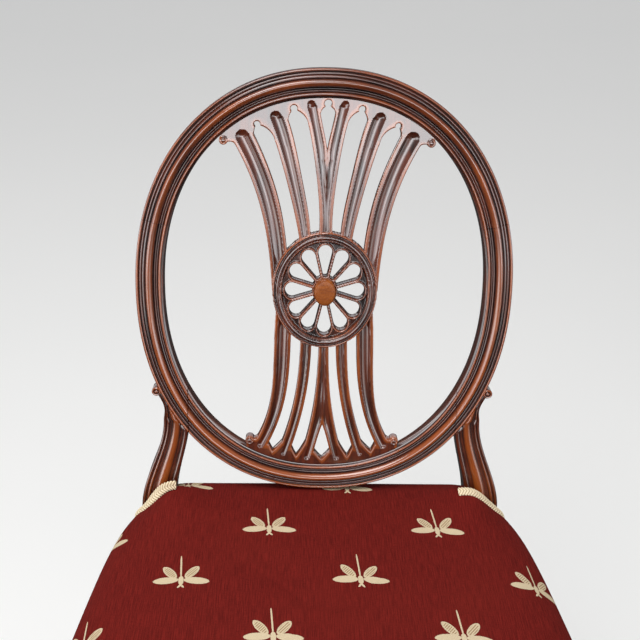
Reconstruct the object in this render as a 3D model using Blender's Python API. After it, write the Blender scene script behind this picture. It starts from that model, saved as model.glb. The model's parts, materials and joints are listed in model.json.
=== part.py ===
"""Wheel back dining chair, built as an assembly of separate pieces.

Metres, +Z up. The sitter faces -Y, and the oval back leans towards +Y. The origin is on the floor, at the
middle of the chair's box. Points of the back are given in its own tilted plane: u to the right, v up the
plane and w out of its front face, from the middle of the oval.
"""

import math

import bmesh
import bpy
from mathutils import Matrix, Vector

# Gap between pieces that touch
FIT_GAP = 0.0003

# Oval of the back
BACK_TILT = math.radians(14.5)
OVAL_HALF_WIDTH = 0.215
OVAL_HALF_HEIGHT = 0.247
OVAL_POWER = 2.155
OVAL_CLEARANCE = 0.0015
MOULD_WIDTH = 0.0315
MOULD_DEPTH = 0.027
EDGE_BEAD = 0.006
EDGE_BEAD_DROP = 0.0025
CENTRE_BEAD = 0.0115
COVE_DROP = 0.006
BACK_EASE = 0.004
CREST_JOINT_ANGLE = math.radians(18.7)
LOWER_JOINT_HALF = 0.158
DOWEL_RADIUS = 0.0035
DOWEL_LENGTH = 0.036
DOWEL_SPACING = 0.0105

# Stiles, from the seat up to the ears beside the oval: bead and ridge are shares of width and relief
STILE_DROP = 0.003
STILE_RELIEF = 0.0035
STILE_LAP = 0.008
STILE_FOOT_DROP = 0.025
STILE_NECK_RISE = 0.087
STILE_NECK_WIDTH = 0.029
STILE_TOP_DEPTH = 0.026
STILE_BEAD = 0.16
STILE_BEAD_LEVEL = 0.45
STILE_RIDGE = 0.40
EAR_RISE = 0.123
EAR_RADIUS = 0.0055
EAR_REACH = 0.004

# Splat. A bar is (root as a share of the wheel's half width, tip as a share of the oval's half width,
# slope at root, slope at tip, width at root, width at tip), with widths as shares of the oval's half width
SPLAT_DROP = 0.0065
SPLAT_THICKNESS = 0.0135
WEB_STEP = 0.0007
WHEEL_STEP = 0.0014
TONGUE_LENGTH = 0.006
TONGUE_THICKNESS = 0.006
UPPER_WEB = 0.009
UPPER_WEB_SPREAD = 0.1
UPPER_WEB_HALF = 0.110
LOWER_WEB = 0.010
LOWER_WEB_HALF = 0.080
BAR_FILLET = 0.002
FLUTE_DEPTH = 0.0035
FLUTE_START = 0.08
FLUTE_END = 0.06
FLUTE_SHOULDER = 0.75
KEYHOLE_RADIUS = 0.0037
CUSP_RADIUS = 0.0055
SCROLL_RADIUS = 0.005
UPPER_BARS = (
    (0.825, 0.493, 0.05, 0.63, 0.0930, 0.0884),
    (0.375, 0.288, 0.10, 0.42, 0.0581, 0.0860),
    (0.057, 0.107, 0.01, 0.29, 0.0372, 0.0674),
)
LOWER_BARS = (
    (0.792, 0.361, 0.00, 0.40, 0.0884, 0.0744),
    (0.333, 0.223, 0.03, 0.34, 0.0549, 0.0628),
    (0.040, 0.088, 0.00, 0.24, 0.0288, 0.0595),
)

# Wheel and boss
WHEEL_HALF_WIDTH = 0.0600
WHEEL_HALF_HEIGHT = 0.0678
RING_WIDTH = 0.012
RING_RISE = 0.0045
RING_BEAD = 0.0045
SPOKE_COUNT = 12
SPOKE_WIDTH = 0.0032
PETAL_REACH = 0.95
HUB_SHARE = 0.36
BOSS_HALF_WIDTH = 0.0123
BOSS_HALF_HEIGHT = 0.0156
BOSS_RISE = 0.0105
BOSS_ROUND = 0.003
SPIGOT_RADIUS = 0.005
SPIGOT_LENGTH = 0.008

# Seat frame
SEAT_DEPTH = 0.400
FRONT_HALF_WIDTH = 0.260
REAR_HALF_WIDTH = 0.216
FRONT_BOW = 0.022
RAIL_BOTTOM = 0.350
RAIL_HEIGHT = 0.068
RAIL_THICKNESS = 0.024
FRONT_RAIL_INSET = 0.027
REAR_RAIL_SET = 0.004
TENON_LENGTH = 0.022
TENON_THICKNESS = 0.010
TENON_SHOULDER = 0.011

# Legs
REAR_LEG_WIDTH = 0.039
REAR_LEG_DEPTH = 0.042
REAR_FOOT_SIZE = 0.029
REAR_RAKE = 0.085
REAR_RAKE_POWER = 1.7
FRONT_LEG_SIZE = 0.044
ANKLE_SIZE = 0.027
ANKLE_HEIGHT = 0.086
SPADE_SIZE = 0.038
SPADE_FLARE = 0.009
SPADE_TOE_SIZE = 0.030
LEG_ARRIS = 0.002
LEG_FLUTES = 3
LEG_FLUTE_DEPTH = 0.0025
LEG_FLUTE_MARGIN = 0.018

# Corner blocks and their screws
BLOCK_WIDTH = 0.030
BLOCK_HEIGHT = 0.040
BLOCK_DROP = 0.012
BLOCK_CLEARANCE = 0.006
SCREW_RADIUS = 0.002
SCREW_GRIP = 0.008
SCREW_BITE = 0.014
SCREW_HEAD_RADIUS = 0.004
SCREW_HEAD_HEIGHT = 0.0025

# Upholstery
COVER_THICKNESS = 0.0016
NOTCH_CLEARANCE = 0.0020
ROLL_RISE = 0.027
ROLL_HEIGHT = 0.027
SIDE_ROLL = 0.060
FRONT_ROLL = 0.050
REAR_ROLL = 0.016
SEAT_CROWN = 0.012
SIDE_BULGE = 0.021
FRONT_BULGE = 0.012
BULGE_RUN = 0.038
CORNER_EASE = 0.002
CORNER_ROUND = 0.018
STRAP_WIDTH = 0.050
STRAP_THICKNESS = 0.0012
STRAP_LAP = 0.018
STRAP_PITCH = 0.078
STRAP_COUNT = 4
HESSIAN_THICKNESS = 0.0008
HESSIAN_SET = 0.006
GIMP_WIDTH = 0.011
GIMP_THICKNESS = 0.0022
DUST_COVER_THICKNESS = 0.0008
DUST_COVER_SET = 0.004
TACK_RADIUS = 0.0040
TACK_HEAD = 0.0012
TACK_SHANK_RADIUS = 0.0008
TACK_SHANK = 0.009
TACK_SPREAD = 0.085

# Facets
CREST_STEPS = 30
SIDE_STEPS = 15
LOWER_STEPS = 18
WEB_STEPS = 12
RING_STEPS = 32
ROUND_SIDES = 10
SHARP_ANGLE = math.radians(35)
BAR_STATIONS = (0, 0.08, 0.27, 0.5, 0.73, 0.94, 1)
CROWN_SCALES = (1.0, 0.99, 0.965, 0.925, 0.86, 0.74, 0.5, 0.2)
WALL_LEVELS = ((0, 0), (0.16, 0), (0.5, 0.45), (0.8, 0.87))
CORNER_STEPS = 3
SIDE_CROWDING = 1.6
TANGENT_STEP = 0.01
GIMP_TURNS = (75, 60, 45, 32, 20, 9)

# Places that follow from the sizes
RAIL_TOP = RAIL_BOTTOM + RAIL_HEIGHT
COVER_SKIN = FIT_GAP + COVER_THICKNESS
COVER_RELEASE = FIT_GAP + GIMP_WIDTH
ROLL_START = RAIL_TOP + ROLL_RISE
SEAT_CREST = ROLL_START + ROLL_HEIGHT
SEAT_REACH = SEAT_DEPTH + FRONT_BOW + COVER_SKIN + FRONT_BULGE
STILE_FOOT = -OVAL_HALF_HEIGHT - STILE_FOOT_DROP
STILE_NECK = -OVAL_HALF_HEIGHT + STILE_NECK_RISE
EAR_V = -OVAL_HALF_HEIGHT + EAR_RISE
BACK_REACH = (OVAL_HALF_HEIGHT - STILE_FOOT) * math.sin(BACK_TILT) + MOULD_DEPTH * math.cos(BACK_TILT)
REAR_LEG_Y = (SEAT_REACH - BACK_REACH) / 2
FRONT_Y = REAR_LEG_Y - SEAT_DEPTH
BACK_Y = REAR_LEG_Y - STILE_FOOT * math.sin(BACK_TILT)
BACK_Z = (
    SEAT_CREST
    + OVAL_CLEARANCE
    + OVAL_HALF_HEIGHT * math.cos(BACK_TILT)
    + MOULD_DEPTH * math.sin(BACK_TILT)
)
BACK_MATRIX = Matrix.Translation((0, BACK_Y, BACK_Z)) @ Matrix.Rotation(-BACK_TILT, 4, "X")
REAR_LEG_INNER = REAR_HALF_WIDTH - REAR_LEG_WIDTH
REAR_RAIL_BACK = REAR_LEG_Y + REAR_LEG_DEPTH - REAR_RAIL_SET
REAR_RAIL_FRONT = REAR_RAIL_BACK - RAIL_THICKNESS
FRONT_LEG_INNER = FRONT_HALF_WIDTH - FRONT_LEG_SIZE
FRONT_LEG_BACK = FRONT_Y + FRONT_LEG_SIZE
FRONT_RAIL_BACK = FRONT_Y + FRONT_RAIL_INSET
COVER_REAR = REAR_RAIL_BACK + COVER_SKIN
COVER_FRONT = FRONT_Y - FRONT_BOW - COVER_SKIN
SPLAT_BACK = -SPLAT_DROP - SPLAT_THICKNESS
TONGUE_MIDDLE = -SPLAT_DROP - SPLAT_THICKNESS / 2
STRAP_LOW = RAIL_TOP + FIT_GAP + STRAP_THICKNESS / 2
STRAP_HIGH = STRAP_LOW + STRAP_THICKNESS + FIT_GAP
HESSIAN_BOTTOM = STRAP_HIGH + STRAP_THICKNESS / 2 + FIT_GAP
STUFFING_BOTTOM = HESSIAN_BOTTOM + HESSIAN_THICKNESS + FIT_GAP


# Scene and materials


def clear_scene():
    for obj in list(bpy.data.objects):
        bpy.data.objects.remove(obj, do_unlink=True)


def make_material(name, colour, roughness, metallic=0.0):
    material = bpy.data.materials.new(name)
    material.use_nodes = True
    shader = material.node_tree.nodes["Principled BSDF"]
    shader.inputs["Base Color"].default_value = (*colour, 1.0)
    shader.inputs["Roughness"].default_value = roughness
    shader.inputs["Metallic"].default_value = metallic
    return material


clear_scene()
MAHOGANY = make_material("mahogany", (0.105, 0.026, 0.011), 0.28)
BOSS_WOOD = make_material("boss_mahogany", (0.20, 0.060, 0.020), 0.30)
BEECH = make_material("beech", (0.45, 0.29, 0.16), 0.60)
STEEL = make_material("steel", (0.42, 0.41, 0.40), 0.40, 1.0)
CLOTH = make_material("cover_cloth", (0.18, 0.013, 0.014), 0.90)
BRAID = make_material("gimp_braid", (0.73, 0.60, 0.38), 0.85)
JUTE = make_material("jute", (0.42, 0.30, 0.17), 0.90)
HESSIAN = make_material("hessian", (0.36, 0.25, 0.14), 0.95)
HAIR = make_material("stuffing", (0.62, 0.57, 0.48), 0.95)
CAMBRIC = make_material("cambric", (0.012, 0.012, 0.013), 0.90)

BACK = bpy.data.objects.new("back", None)
bpy.context.collection.objects.link(BACK)
BACK.matrix_world = BACK_MATRIX


# Mesh helpers


def make_object(name, mesh, material, parent=None):
    mesh.materials.append(material)
    mesh.shade_smooth()
    mesh.set_sharp_from_angle(angle=SHARP_ANGLE)
    obj = bpy.data.objects.new(name, mesh)
    bpy.context.collection.objects.link(obj)
    obj.parent = parent
    return obj


def finish_mesh(name, bm):
    bmesh.ops.recalc_face_normals(bm, faces=bm.faces)
    mesh = bpy.data.meshes.new(name)
    bm.to_mesh(mesh)
    bm.free()
    return mesh


def loft(name, sections, material, closed=False, parent=None):
    """A body through sections with equal numbers of points, capped at its ends unless it is closed."""
    bm = bmesh.new()
    rings = [[bm.verts.new(point) for point in section] for section in sections]
    count = len(rings[0])
    pairs = list(zip(rings, rings[1:]))
    if closed:
        pairs.append((rings[-1], rings[0]))
    for first, second in pairs:
        for i in range(count):
            j = (i + 1) % count
            bm.faces.new((first[i], first[j], second[j], second[i]))
    if not closed:
        bm.faces.new(rings[0])
        bm.faces.new(rings[-1])
    return make_object(name, finish_mesh(name, bm), material, parent)


def prism(name, outline, bottom, top, material):
    """An outline in plan, extruded from one height to another."""
    sections = [[Vector((x, y, z)) for x, y in outline] for z in (bottom, top)]
    return loft(name, sections, material)


def rectangle(low, high):
    return [(low[0], low[1]), (high[0], low[1]), (high[0], high[1]), (low[0], high[1])]


def box(name, low, high, material):
    return prism(name, rectangle(low, high), low[2], high[2], material)


def circle(centre, axis, radius, sides=ROUND_SIDES):
    """Points round an axis."""
    across = axis.orthogonal().normalized()
    other = axis.normalized().cross(across)
    turns = [2 * math.pi * k / sides for k in range(sides)]
    return [centre + radius * (math.cos(a) * across + math.sin(a) * other) for a in turns]


def turned(name, start, end, steps, material, parent=None):
    """A turned body from start towards end: steps are (distance, radius)."""
    axis = (end - start).normalized()
    sections = [circle(start + axis * distance, axis, radius) for distance, radius in steps]
    return loft(name, sections, material, parent=parent)


def rod(name, start, end, radius, material, parent=None):
    return turned(name, start, end, ((0, radius), ((end - start).length, radius)), material, parent)


def combine(obj, other, operation):
    """Cuts, joins or intersects obj with a helper body."""
    modifier = obj.modifiers.new(other.name, "BOOLEAN")
    modifier.operation = operation
    modifier.object = other
    modifier.solver = "EXACT"
    other.hide_render = True
    other.display_type = "WIRE"


def smooth_step(t):
    t = min(max(t, 0.0), 1.0)
    return t * t * (3 - 2 * t)


# Oval geometry


def back_local(u, v, w):
    return Vector((u, -w, v))


def back_world(u, v, w):
    return BACK_MATRIX @ back_local(u, v, w)


def oval_point(angle, inset):
    """A point of the oval, moved inwards along its normal."""
    c, s = math.cos(angle), math.sin(angle)
    reach = (abs(c) ** OVAL_POWER + abs(s) ** OVAL_POWER) ** (-1 / OVAL_POWER)
    c, s = c * reach, s * reach
    normal_u = math.copysign(abs(c) ** (OVAL_POWER - 1), c) / OVAL_HALF_WIDTH
    normal_v = math.copysign(abs(s) ** (OVAL_POWER - 1), s) / OVAL_HALF_HEIGHT
    length = math.hypot(normal_u, normal_v)
    u = OVAL_HALF_WIDTH * c - inset * normal_u / length
    v = OVAL_HALF_HEIGHT * s - inset * normal_v / length
    return u, v


def angle_at_u(u, inset):
    """The angle in the upper right quarter where the inset oval has this u."""
    low, high = 0.0, math.pi / 2
    for _ in range(50):
        middle = (low + high) / 2
        if oval_point(middle, inset)[0] > u:
            low = middle
        else:
            high = middle
    return (low + high) / 2


def oval_v(u, inset):
    return oval_point(angle_at_u(abs(u), inset), inset)[1]


def oval_u(v, inset=0.0):
    """Half the outer oval's width at this height in the back."""
    share = abs(v) / OVAL_HALF_HEIGHT
    return OVAL_HALF_WIDTH * (1 - share**OVAL_POWER) ** (1 / OVAL_POWER) - inset


def spread(first, last, steps):
    return [first + (last - first) * k / steps for k in range(steps + 1)]


def bead(start, end, foot, crown, steps):
    """Half round points from start to end, from the foot's level up to the crown's."""
    points = []
    for k in range(steps + 1):
        turn = math.pi * k / steps
        across = (start + end) / 2 - math.cos(turn) * (end - start) / 2
        points.append((across, foot + (crown - foot) * math.sin(turn)))
    return points


def mould_profile():
    """The oval's section as (inset from the outer edge, w): two edge beads and a wide centre bead."""
    middle = MOULD_WIDTH / 2
    half = CENTRE_BEAD / 2
    points = [(BACK_EASE, -MOULD_DEPTH), (0, BACK_EASE - MOULD_DEPTH)]
    points += bead(0, EDGE_BEAD, -COVE_DROP, -EDGE_BEAD_DROP, 3)
    points += bead(middle - half, middle + half, -COVE_DROP, 0, 4)
    points += bead(MOULD_WIDTH - EDGE_BEAD, MOULD_WIDTH, -COVE_DROP, -EDGE_BEAD_DROP, 3)
    points += [(MOULD_WIDTH, BACK_EASE - MOULD_DEPTH), (MOULD_WIDTH - BACK_EASE, -MOULD_DEPTH)]
    return points


def oval_sections(first, last, steps, profile, place):
    return [
        [place(*oval_point(angle, inset), w) for inset, w in profile]
        for angle in spread(first, last, steps)
    ]


JOINT_GAP_ANGLE = FIT_GAP / 2 / OVAL_HALF_WIDTH
LOWER_JOINT_ANGLE = -angle_at_u(LOWER_JOINT_HALF, MOULD_WIDTH / 2)
LOWER_REACH_ANGLE = -angle_at_u(LOWER_JOINT_HALF - MOULD_WIDTH, MOULD_WIDTH)
LOWER_START_ANGLE = -angle_at_u(LOWER_JOINT_HALF + MOULD_WIDTH / 2, 0)


# Back frame


def make_crest_rail():
    first = CREST_JOINT_ANGLE + JOINT_GAP_ANGLE
    sections = oval_sections(first, math.pi - first, CREST_STEPS, mould_profile(), back_local)
    return loft("crest_rail", sections, MAHOGANY, parent=BACK)


def make_lower_rail():
    """The lower arc of the oval, sawn off upright at both ends where the stiles take it."""
    first = LOWER_START_ANGLE
    sections = oval_sections(first, -math.pi - first, LOWER_STEPS, mould_profile(), back_local)
    rail = loft("lower_back_rail", sections, MAHOGANY, parent=BACK)
    half = LOWER_JOINT_HALF - FIT_GAP / 2
    low = (-half, -MOULD_DEPTH, -2 * OVAL_HALF_HEIGHT)
    keep = box("lower_back_rail_length", low, (half, 2 * MOULD_DEPTH, 0), MAHOGANY)
    keep.parent = BACK
    combine(rail, keep, "INTERSECT")
    return rail


def stile_profile():
    """The stile's front as (share of the width, share of the relief below its crown)."""
    points = bead(0, STILE_BEAD, 1, STILE_BEAD_LEVEL, 3)
    points += bead((1 - STILE_RIDGE) / 2, (1 + STILE_RIDGE) / 2, 1, 0, 4)
    points += bead(1 - STILE_BEAD, 1, 1, STILE_BEAD_LEVEL, 3)
    return points


def leg_section(side, front, tilt, outer, inner, depth, relief):
    """A section of the rear leg behind its front point (y, z), tilted with the back above the seat."""
    y, z = front
    ease = min(BACK_EASE, depth / 4)
    points = [(outer + (inner - outer) * share, relief * drop) for share, drop in stile_profile()]
    points += [(inner, depth - ease), (inner + ease, depth), (outer - ease, depth), (outer, depth - ease)]
    return [
        Vector((side * x, y + behind * math.cos(tilt), z - behind * math.sin(tilt)))
        for x, behind in points
    ]


def lower_leg_sections(side):
    """From the floor to the top of the seat rails: raked back below the seat."""
    sections = []
    for z in spread(0, RAIL_BOTTOM, 6) + [RAIL_TOP]:
        fall = max(0.0, 1 - z / RAIL_BOTTOM)
        width = REAR_LEG_WIDTH + (REAR_FOOT_SIZE - REAR_LEG_WIDTH) * fall
        depth = REAR_LEG_DEPTH + (REAR_FOOT_SIZE - REAR_LEG_DEPTH) * fall
        front = (REAR_LEG_Y + REAR_RAKE * fall**REAR_RAKE_POWER, z)
        sections.append(leg_section(side, front, 0, REAR_HALF_WIDTH, REAR_HALF_WIDTH - width, depth, 0))
    return sections


def stile_sections(side):
    """From the seat to the ear: the stile narrows to its neck, then laps on to the oval's outer edge."""
    neck_inner = LOWER_JOINT_HALF + FIT_GAP
    neck_outer = neck_inner + STILE_NECK_WIDTH
    sections = []
    for v in spread(STILE_FOOT, STILE_NECK, 7) + spread(STILE_NECK, EAR_V, 4)[1:]:
        flare = smooth_step((v - STILE_NECK) / (STILE_FOOT - STILE_NECK))
        outer = neck_outer + (REAR_HALF_WIDTH - neck_outer) * flare
        inner = neck_inner + (REAR_LEG_INNER - neck_inner) * flare
        depth = STILE_TOP_DEPTH + (REAR_LEG_DEPTH - STILE_TOP_DEPTH) * flare
        if v > STILE_NECK:
            inner = max(inner, oval_u(v, STILE_LAP))
            outer += smooth_step((v - STILE_NECK) / (EAR_V - STILE_NECK)) * (oval_u(v) + EAR_REACH - outer)
        point = back_world(0, v, -STILE_DROP)
        sections.append(leg_section(side, point.yz, BACK_TILT, outer, inner, depth, STILE_RELIEF))
    return sections


def side_name(base, side):
    return f"{base}_{'left' if side < 0 else 'right'}"


def make_rear_leg(side):
    """One piece of wood: raked leg, stile and the side of the oval."""
    name = side_name("rear_leg", side)
    leg = loft(name, lower_leg_sections(side) + stile_sections(side), MAHOGANY)

    def place(u, v, w):
        return back_world(side * u, v, w)

    last = CREST_JOINT_ANGLE - JOINT_GAP_ANGLE
    sections = oval_sections(LOWER_REACH_ANGLE, last, SIDE_STEPS, mould_profile(), place)
    combine(leg, loft(f"{name}_oval", sections, MAHOGANY), "UNION")
    ear_u = oval_u(EAR_V) + EAR_REACH
    front = place(ear_u, EAR_V, -STILE_DROP - STILE_RELIEF / 2)
    back = place(ear_u, EAR_V, -STILE_DROP - STILE_TOP_DEPTH + BACK_EASE)
    combine(leg, rod(f"{name}_ear", front, back, EAR_RADIUS, MAHOGANY), "UNION")

    half = LOWER_JOINT_HALF + FIT_GAP / 2
    ends = sorted((0, side * half))
    low = (ends[0], -MOULD_DEPTH, STILE_FOOT)
    shoulder = box(f"{name}_shoulder", low, (ends[1], 3 * MOULD_DEPTH, 0), MAHOGANY)
    shoulder.parent = BACK
    combine(leg, shoulder, "DIFFERENCE")
    return leg


# Dowels of the oval


def make_joint_dowels(name, angle, side, pieces):
    """Two dowels along the oval across a joint, with their holes in both pieces."""
    for k, shift in enumerate((-DOWEL_SPACING / 2, DOWEL_SPACING / 2), start=1):
        inset = MOULD_WIDTH / 2 + shift
        u, v = oval_point(angle, inset)
        u_next, v_next = oval_point(angle + TANGENT_STEP, inset)
        w = -(MOULD_DEPTH + COVE_DROP) / 2
        middle = back_local(side * u, v, w)
        along = (back_local(side * u_next, v_next, w) - middle).normalized()
        half = along * DOWEL_LENGTH / 2
        dowel = f"{name}_{k}"
        rod(dowel, middle - half, middle + half, DOWEL_RADIUS, BEECH, BACK)
        half = half + along * FIT_GAP
        hole = rod(f"{dowel}_hole", middle - half, middle + half, DOWEL_RADIUS + FIT_GAP, BEECH, BACK)
        for piece in pieces:
            combine(piece, hole, "DIFFERENCE")


# Splat with its fans and wheel


def upper_web(u):
    return UPPER_WEB + UPPER_WEB_SPREAD * abs(u)


def lower_web(u):
    return LOWER_WEB


def ring_v(u):
    """Height of the wheel ring's middle line at this u."""
    share = min(abs(u) / (WHEEL_HALF_WIDTH - RING_WIDTH / 2), 1.0)
    return (WHEEL_HALF_HEIGHT - RING_WIDTH / 2) * math.sqrt(1 - share * share)


def bar_curve(bar, rise, web):
    """Control points of a fan bar's middle line, from the wheel's ring to the web along the oval."""
    root_share, tip_share, root_slope, tip_slope = bar[:4]
    root_u, tip_u = root_share * WHEEL_HALF_WIDTH, tip_share * OVAL_HALF_WIDTH
    root_v = ring_v(root_u)
    tip_v = oval_v(tip_u, MOULD_WIDTH + web(tip_u) / 2)
    third = (tip_v - root_v) / 3
    points = (
        (root_u, root_v),
        (root_u + root_slope * third, root_v + third),
        (tip_u - tip_slope * third, tip_v - third),
        (tip_u, tip_v),
    )
    return [Vector((u, rise * v)) for u, v in points]


def curve_point(points, t):
    s = 1 - t
    return s**3 * points[0] + 3 * s * s * t * points[1] + 3 * s * t * t * points[2] + t**3 * points[3]


def bar_section(bar, points, t, lift):
    """Across the bar: raised fillets at both edges and a flute that runs out at both ends."""
    centre = curve_point(points, t)
    along = (curve_point(points, t + TANGENT_STEP) - curve_point(points, t - TANGENT_STEP)).normalized()
    across = Vector((along.y, -along.x))
    half = OVAL_HALF_WIDTH * (bar[4] + (bar[5] - bar[4]) * t) / 2
    hollow = half - BAR_FILLET
    depth = FLUTE_DEPTH * min(1, t / FLUTE_START, (1 - t) / FLUTE_END)
    shoulder = FLUTE_SHOULDER * depth
    face = -SPLAT_DROP + lift
    back = SPLAT_BACK + lift
    section = [(-half, back), (-half, face), (-hollow, face)]
    section += [(-hollow / 2, face - shoulder), (0, face - depth), (hollow / 2, face - shoulder)]
    section += [(hollow, face), (half, face), (half, back)]
    return [back_local(*(centre + across * a), w) for a, w in section]


def make_bar(name, bar, side, rise, web):
    """A bar of a fan. The middle pair cross near the wheel, so one side lies a little higher."""
    points = [Vector((side * point.x, point.y)) for point in bar_curve(bar, rise, web)]
    lift = side * FIT_GAP / 2
    return loft(name, [bar_section(bar, points, t, lift) for t in BAR_STATIONS], MAHOGANY, parent=BACK)


def arc_band(name, half, rise, near, far, front, back):
    """A band along the inside of the oval between two insets, which are functions of u."""
    first = angle_at_u(half, MOULD_WIDTH)
    sections = []
    for angle in spread(first, math.pi - first, WEB_STEPS):
        u = oval_point(angle, MOULD_WIDTH)[0]
        corners = ((near(u), front), (far(u), front), (far(u), back), (near(u), back))
        section = []
        for inset, w in corners:
            point = oval_point(angle, inset)
            section.append(back_local(point[0], rise * point[1], w))
        sections.append(section)
    return loft(name, sections, MAHOGANY, parent=BACK)


def make_web(name, half, rise, web):
    front = -SPLAT_DROP - WEB_STEP
    back = SPLAT_BACK + WEB_STEP
    return arc_band(
        name, half, rise, lambda u: MOULD_WIDTH + FIT_GAP, lambda u: MOULD_WIDTH + web(u), front, back
    )


def make_tongue(name, half, rise, grow=0.0):
    """The tongue on the splat's edge, or with a clearance the cutter for its groove."""
    front = TONGUE_MIDDLE + TONGUE_THICKNESS / 2 + grow
    back = TONGUE_MIDDLE - TONGUE_THICKNESS / 2 - grow
    near = MOULD_WIDTH - TONGUE_LENGTH - grow
    far = MOULD_WIDTH + TONGUE_LENGTH / 2
    return arc_band(name, half - TONGUE_LENGTH + grow, rise, lambda u: near, lambda u: far, front, back)


def petal_outline(angle):
    """One opening of the wheel: straight sides along two spokes and a round arch at the ring."""
    half_turn = math.pi / SPOKE_COUNT
    wide = WHEEL_HALF_WIDTH - RING_WIDTH
    high = WHEEL_HALF_HEIGHT - RING_WIDTH
    spoke = SPOKE_WIDTH / 2 / wide
    middle = (PETAL_REACH + spoke) / (1 + math.sin(half_turn))
    radius = PETAL_REACH - middle
    base = HUB_SHARE * math.tan(half_turn) - spoke / math.cos(half_turn)
    turn = math.pi / 2 + half_turn
    points = [(HUB_SHARE, base), (HUB_SHARE, -base)]
    points += [(middle + radius * math.cos(a), radius * math.sin(a)) for a in spread(-turn, turn, 8)]
    c, s = math.cos(angle), math.sin(angle)
    return [((x * c - y * s) * wide, (x * s + y * c) * high) for x, y in points]


def ellipse(half_width, half_height, steps=RING_STEPS):
    turns = [2 * math.pi * k / steps for k in range(steps)]
    return [(half_width * math.cos(a), half_height * math.sin(a)) for a in turns]


def pierced_plate(name, outline, holes, front, back):
    bm = bmesh.new()
    edges = []
    for loop in [outline, *holes]:
        verts = [bm.verts.new(back_local(u, v, front)) for u, v in loop]
        edges += [bm.edges.new((verts[i - 1], verts[i])) for i in range(len(verts))]
    filled = bmesh.ops.triangle_fill(bm, edges=edges, use_beauty=True)
    faces = [item for item in filled["geom"] if isinstance(item, bmesh.types.BMFace)]
    raised = bmesh.ops.extrude_face_region(bm, geom=faces)
    moved = [item for item in raised["geom"] if isinstance(item, bmesh.types.BMVert)]
    bmesh.ops.translate(bm, verts=moved, vec=back_local(0, 0, back - front))
    return make_object(name, finish_mesh(name, bm), MAHOGANY, BACK)


def make_ring():
    """The wheel's moulded ring, with a bead along each edge."""
    crown = -SPLAT_DROP + RING_RISE
    floor = -SPLAT_DROP + WEB_STEP
    back = SPLAT_BACK + WHEEL_STEP / 2
    profile = [(RING_WIDTH, back), (0, back)]
    profile += bead(0, RING_BEAD, floor, crown, 3)
    profile += bead(RING_WIDTH - RING_BEAD, RING_WIDTH, floor, crown, 3)
    sections = []
    for k in range(RING_STEPS):
        turn = 2 * math.pi * (k + 0.5) / RING_STEPS
        c, s = math.cos(turn), math.sin(turn)
        sections.append(
            [back_local((WHEEL_HALF_WIDTH - r) * c, (WHEEL_HALF_HEIGHT - r) * s, w) for r, w in profile]
        )
    return loft("splat_ring", sections, MAHOGANY, closed=True, parent=BACK)


def gap_places(bars, rise, web):
    """Where the gaps between neighbouring bars end: the middle of the chair, then outwards."""
    near_tip = 0.9
    along = sorted(curve_point(bar_curve(bar, rise, web), near_tip).x for bar in bars)
    return [0.0] + [(a + b) / 2 for a, b in zip(along, along[1:])]


def make_fan(splat, name, bars, rise, web, half):
    """One fan: its web and tongue along the oval, its bars on both sides and the scrolls at its corners."""
    combine(splat, make_web(f"splat_{name}_web", half, rise, web), "UNION")
    combine(splat, make_tongue(f"splat_{name}_tongue", half, rise), "UNION")
    for side in (-1, 1):
        for k, bar in enumerate(bars):
            piece = make_bar(side_name(f"splat_{name}_bar_{k}", side), bar, side, rise, web)
            combine(splat, piece, "UNION")
        u, v = oval_point(angle_at_u(half, MOULD_WIDTH), MOULD_WIDTH + FIT_GAP + SCROLL_RADIUS)
        front = back_local(side * u, rise * v, -SPLAT_DROP + WEB_STEP)
        back = back_local(side * u, rise * v, SPLAT_BACK + 2 * WEB_STEP)
        scroll = rod(side_name(f"splat_{name}_scroll", side), front, back, SCROLL_RADIUS, MAHOGANY, BACK)
        combine(splat, scroll, "UNION")


def cut_gap_ends(splat, name, bars, rise, web, radius, sides, lift):
    """Round keyholes or pointed cusps where the gaps run into the web."""
    for k, place in enumerate(gap_places(bars, rise, web)):
        for side in (-1, 1) if place else (1,):
            v = rise * oval_v(place, MOULD_WIDTH + web(place) - lift)
            front = back_local(side * place, v, MOULD_DEPTH)
            back = back_local(side * place, v, -2 * MOULD_DEPTH)
            sections = [circle(point, Vector((0, 1, 0)), radius, sides) for point in (front, back)]
            hole = loft(side_name(f"splat_{name}_{k}", side), sections, MAHOGANY, parent=BACK)
            combine(splat, hole, "DIFFERENCE")


def make_splat():
    petals = [petal_outline(2 * math.pi * k / SPOKE_COUNT) for k in range(SPOKE_COUNT)]
    rim = ellipse(WHEEL_HALF_WIDTH - RING_WIDTH / 2, WHEEL_HALF_HEIGHT - RING_WIDTH / 2)
    front = -SPLAT_DROP - WHEEL_STEP
    splat = pierced_plate("back_splat", rim, petals, front, SPLAT_BACK + WHEEL_STEP)
    combine(splat, make_ring(), "UNION")
    make_fan(splat, "upper", UPPER_BARS, 1, upper_web, UPPER_WEB_HALF)
    make_fan(splat, "lower", LOWER_BARS, -1, lower_web, LOWER_WEB_HALF)
    keyhole_lift = KEYHOLE_RADIUS / 2
    cut_gap_ends(splat, "keyhole", UPPER_BARS, 1, upper_web, KEYHOLE_RADIUS, ROUND_SIDES, keyhole_lift)
    cut_gap_ends(splat, "cusp", LOWER_BARS, -1, lower_web, CUSP_RADIUS, 4, 0)
    socket = rod(
        "splat_socket",
        back_local(0, 0, MOULD_DEPTH),
        back_local(0, 0, front - SPIGOT_LENGTH - FIT_GAP),
        SPIGOT_RADIUS + FIT_GAP,
        MAHOGANY,
        BACK,
    )
    combine(splat, socket, "DIFFERENCE")
    return splat


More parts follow.
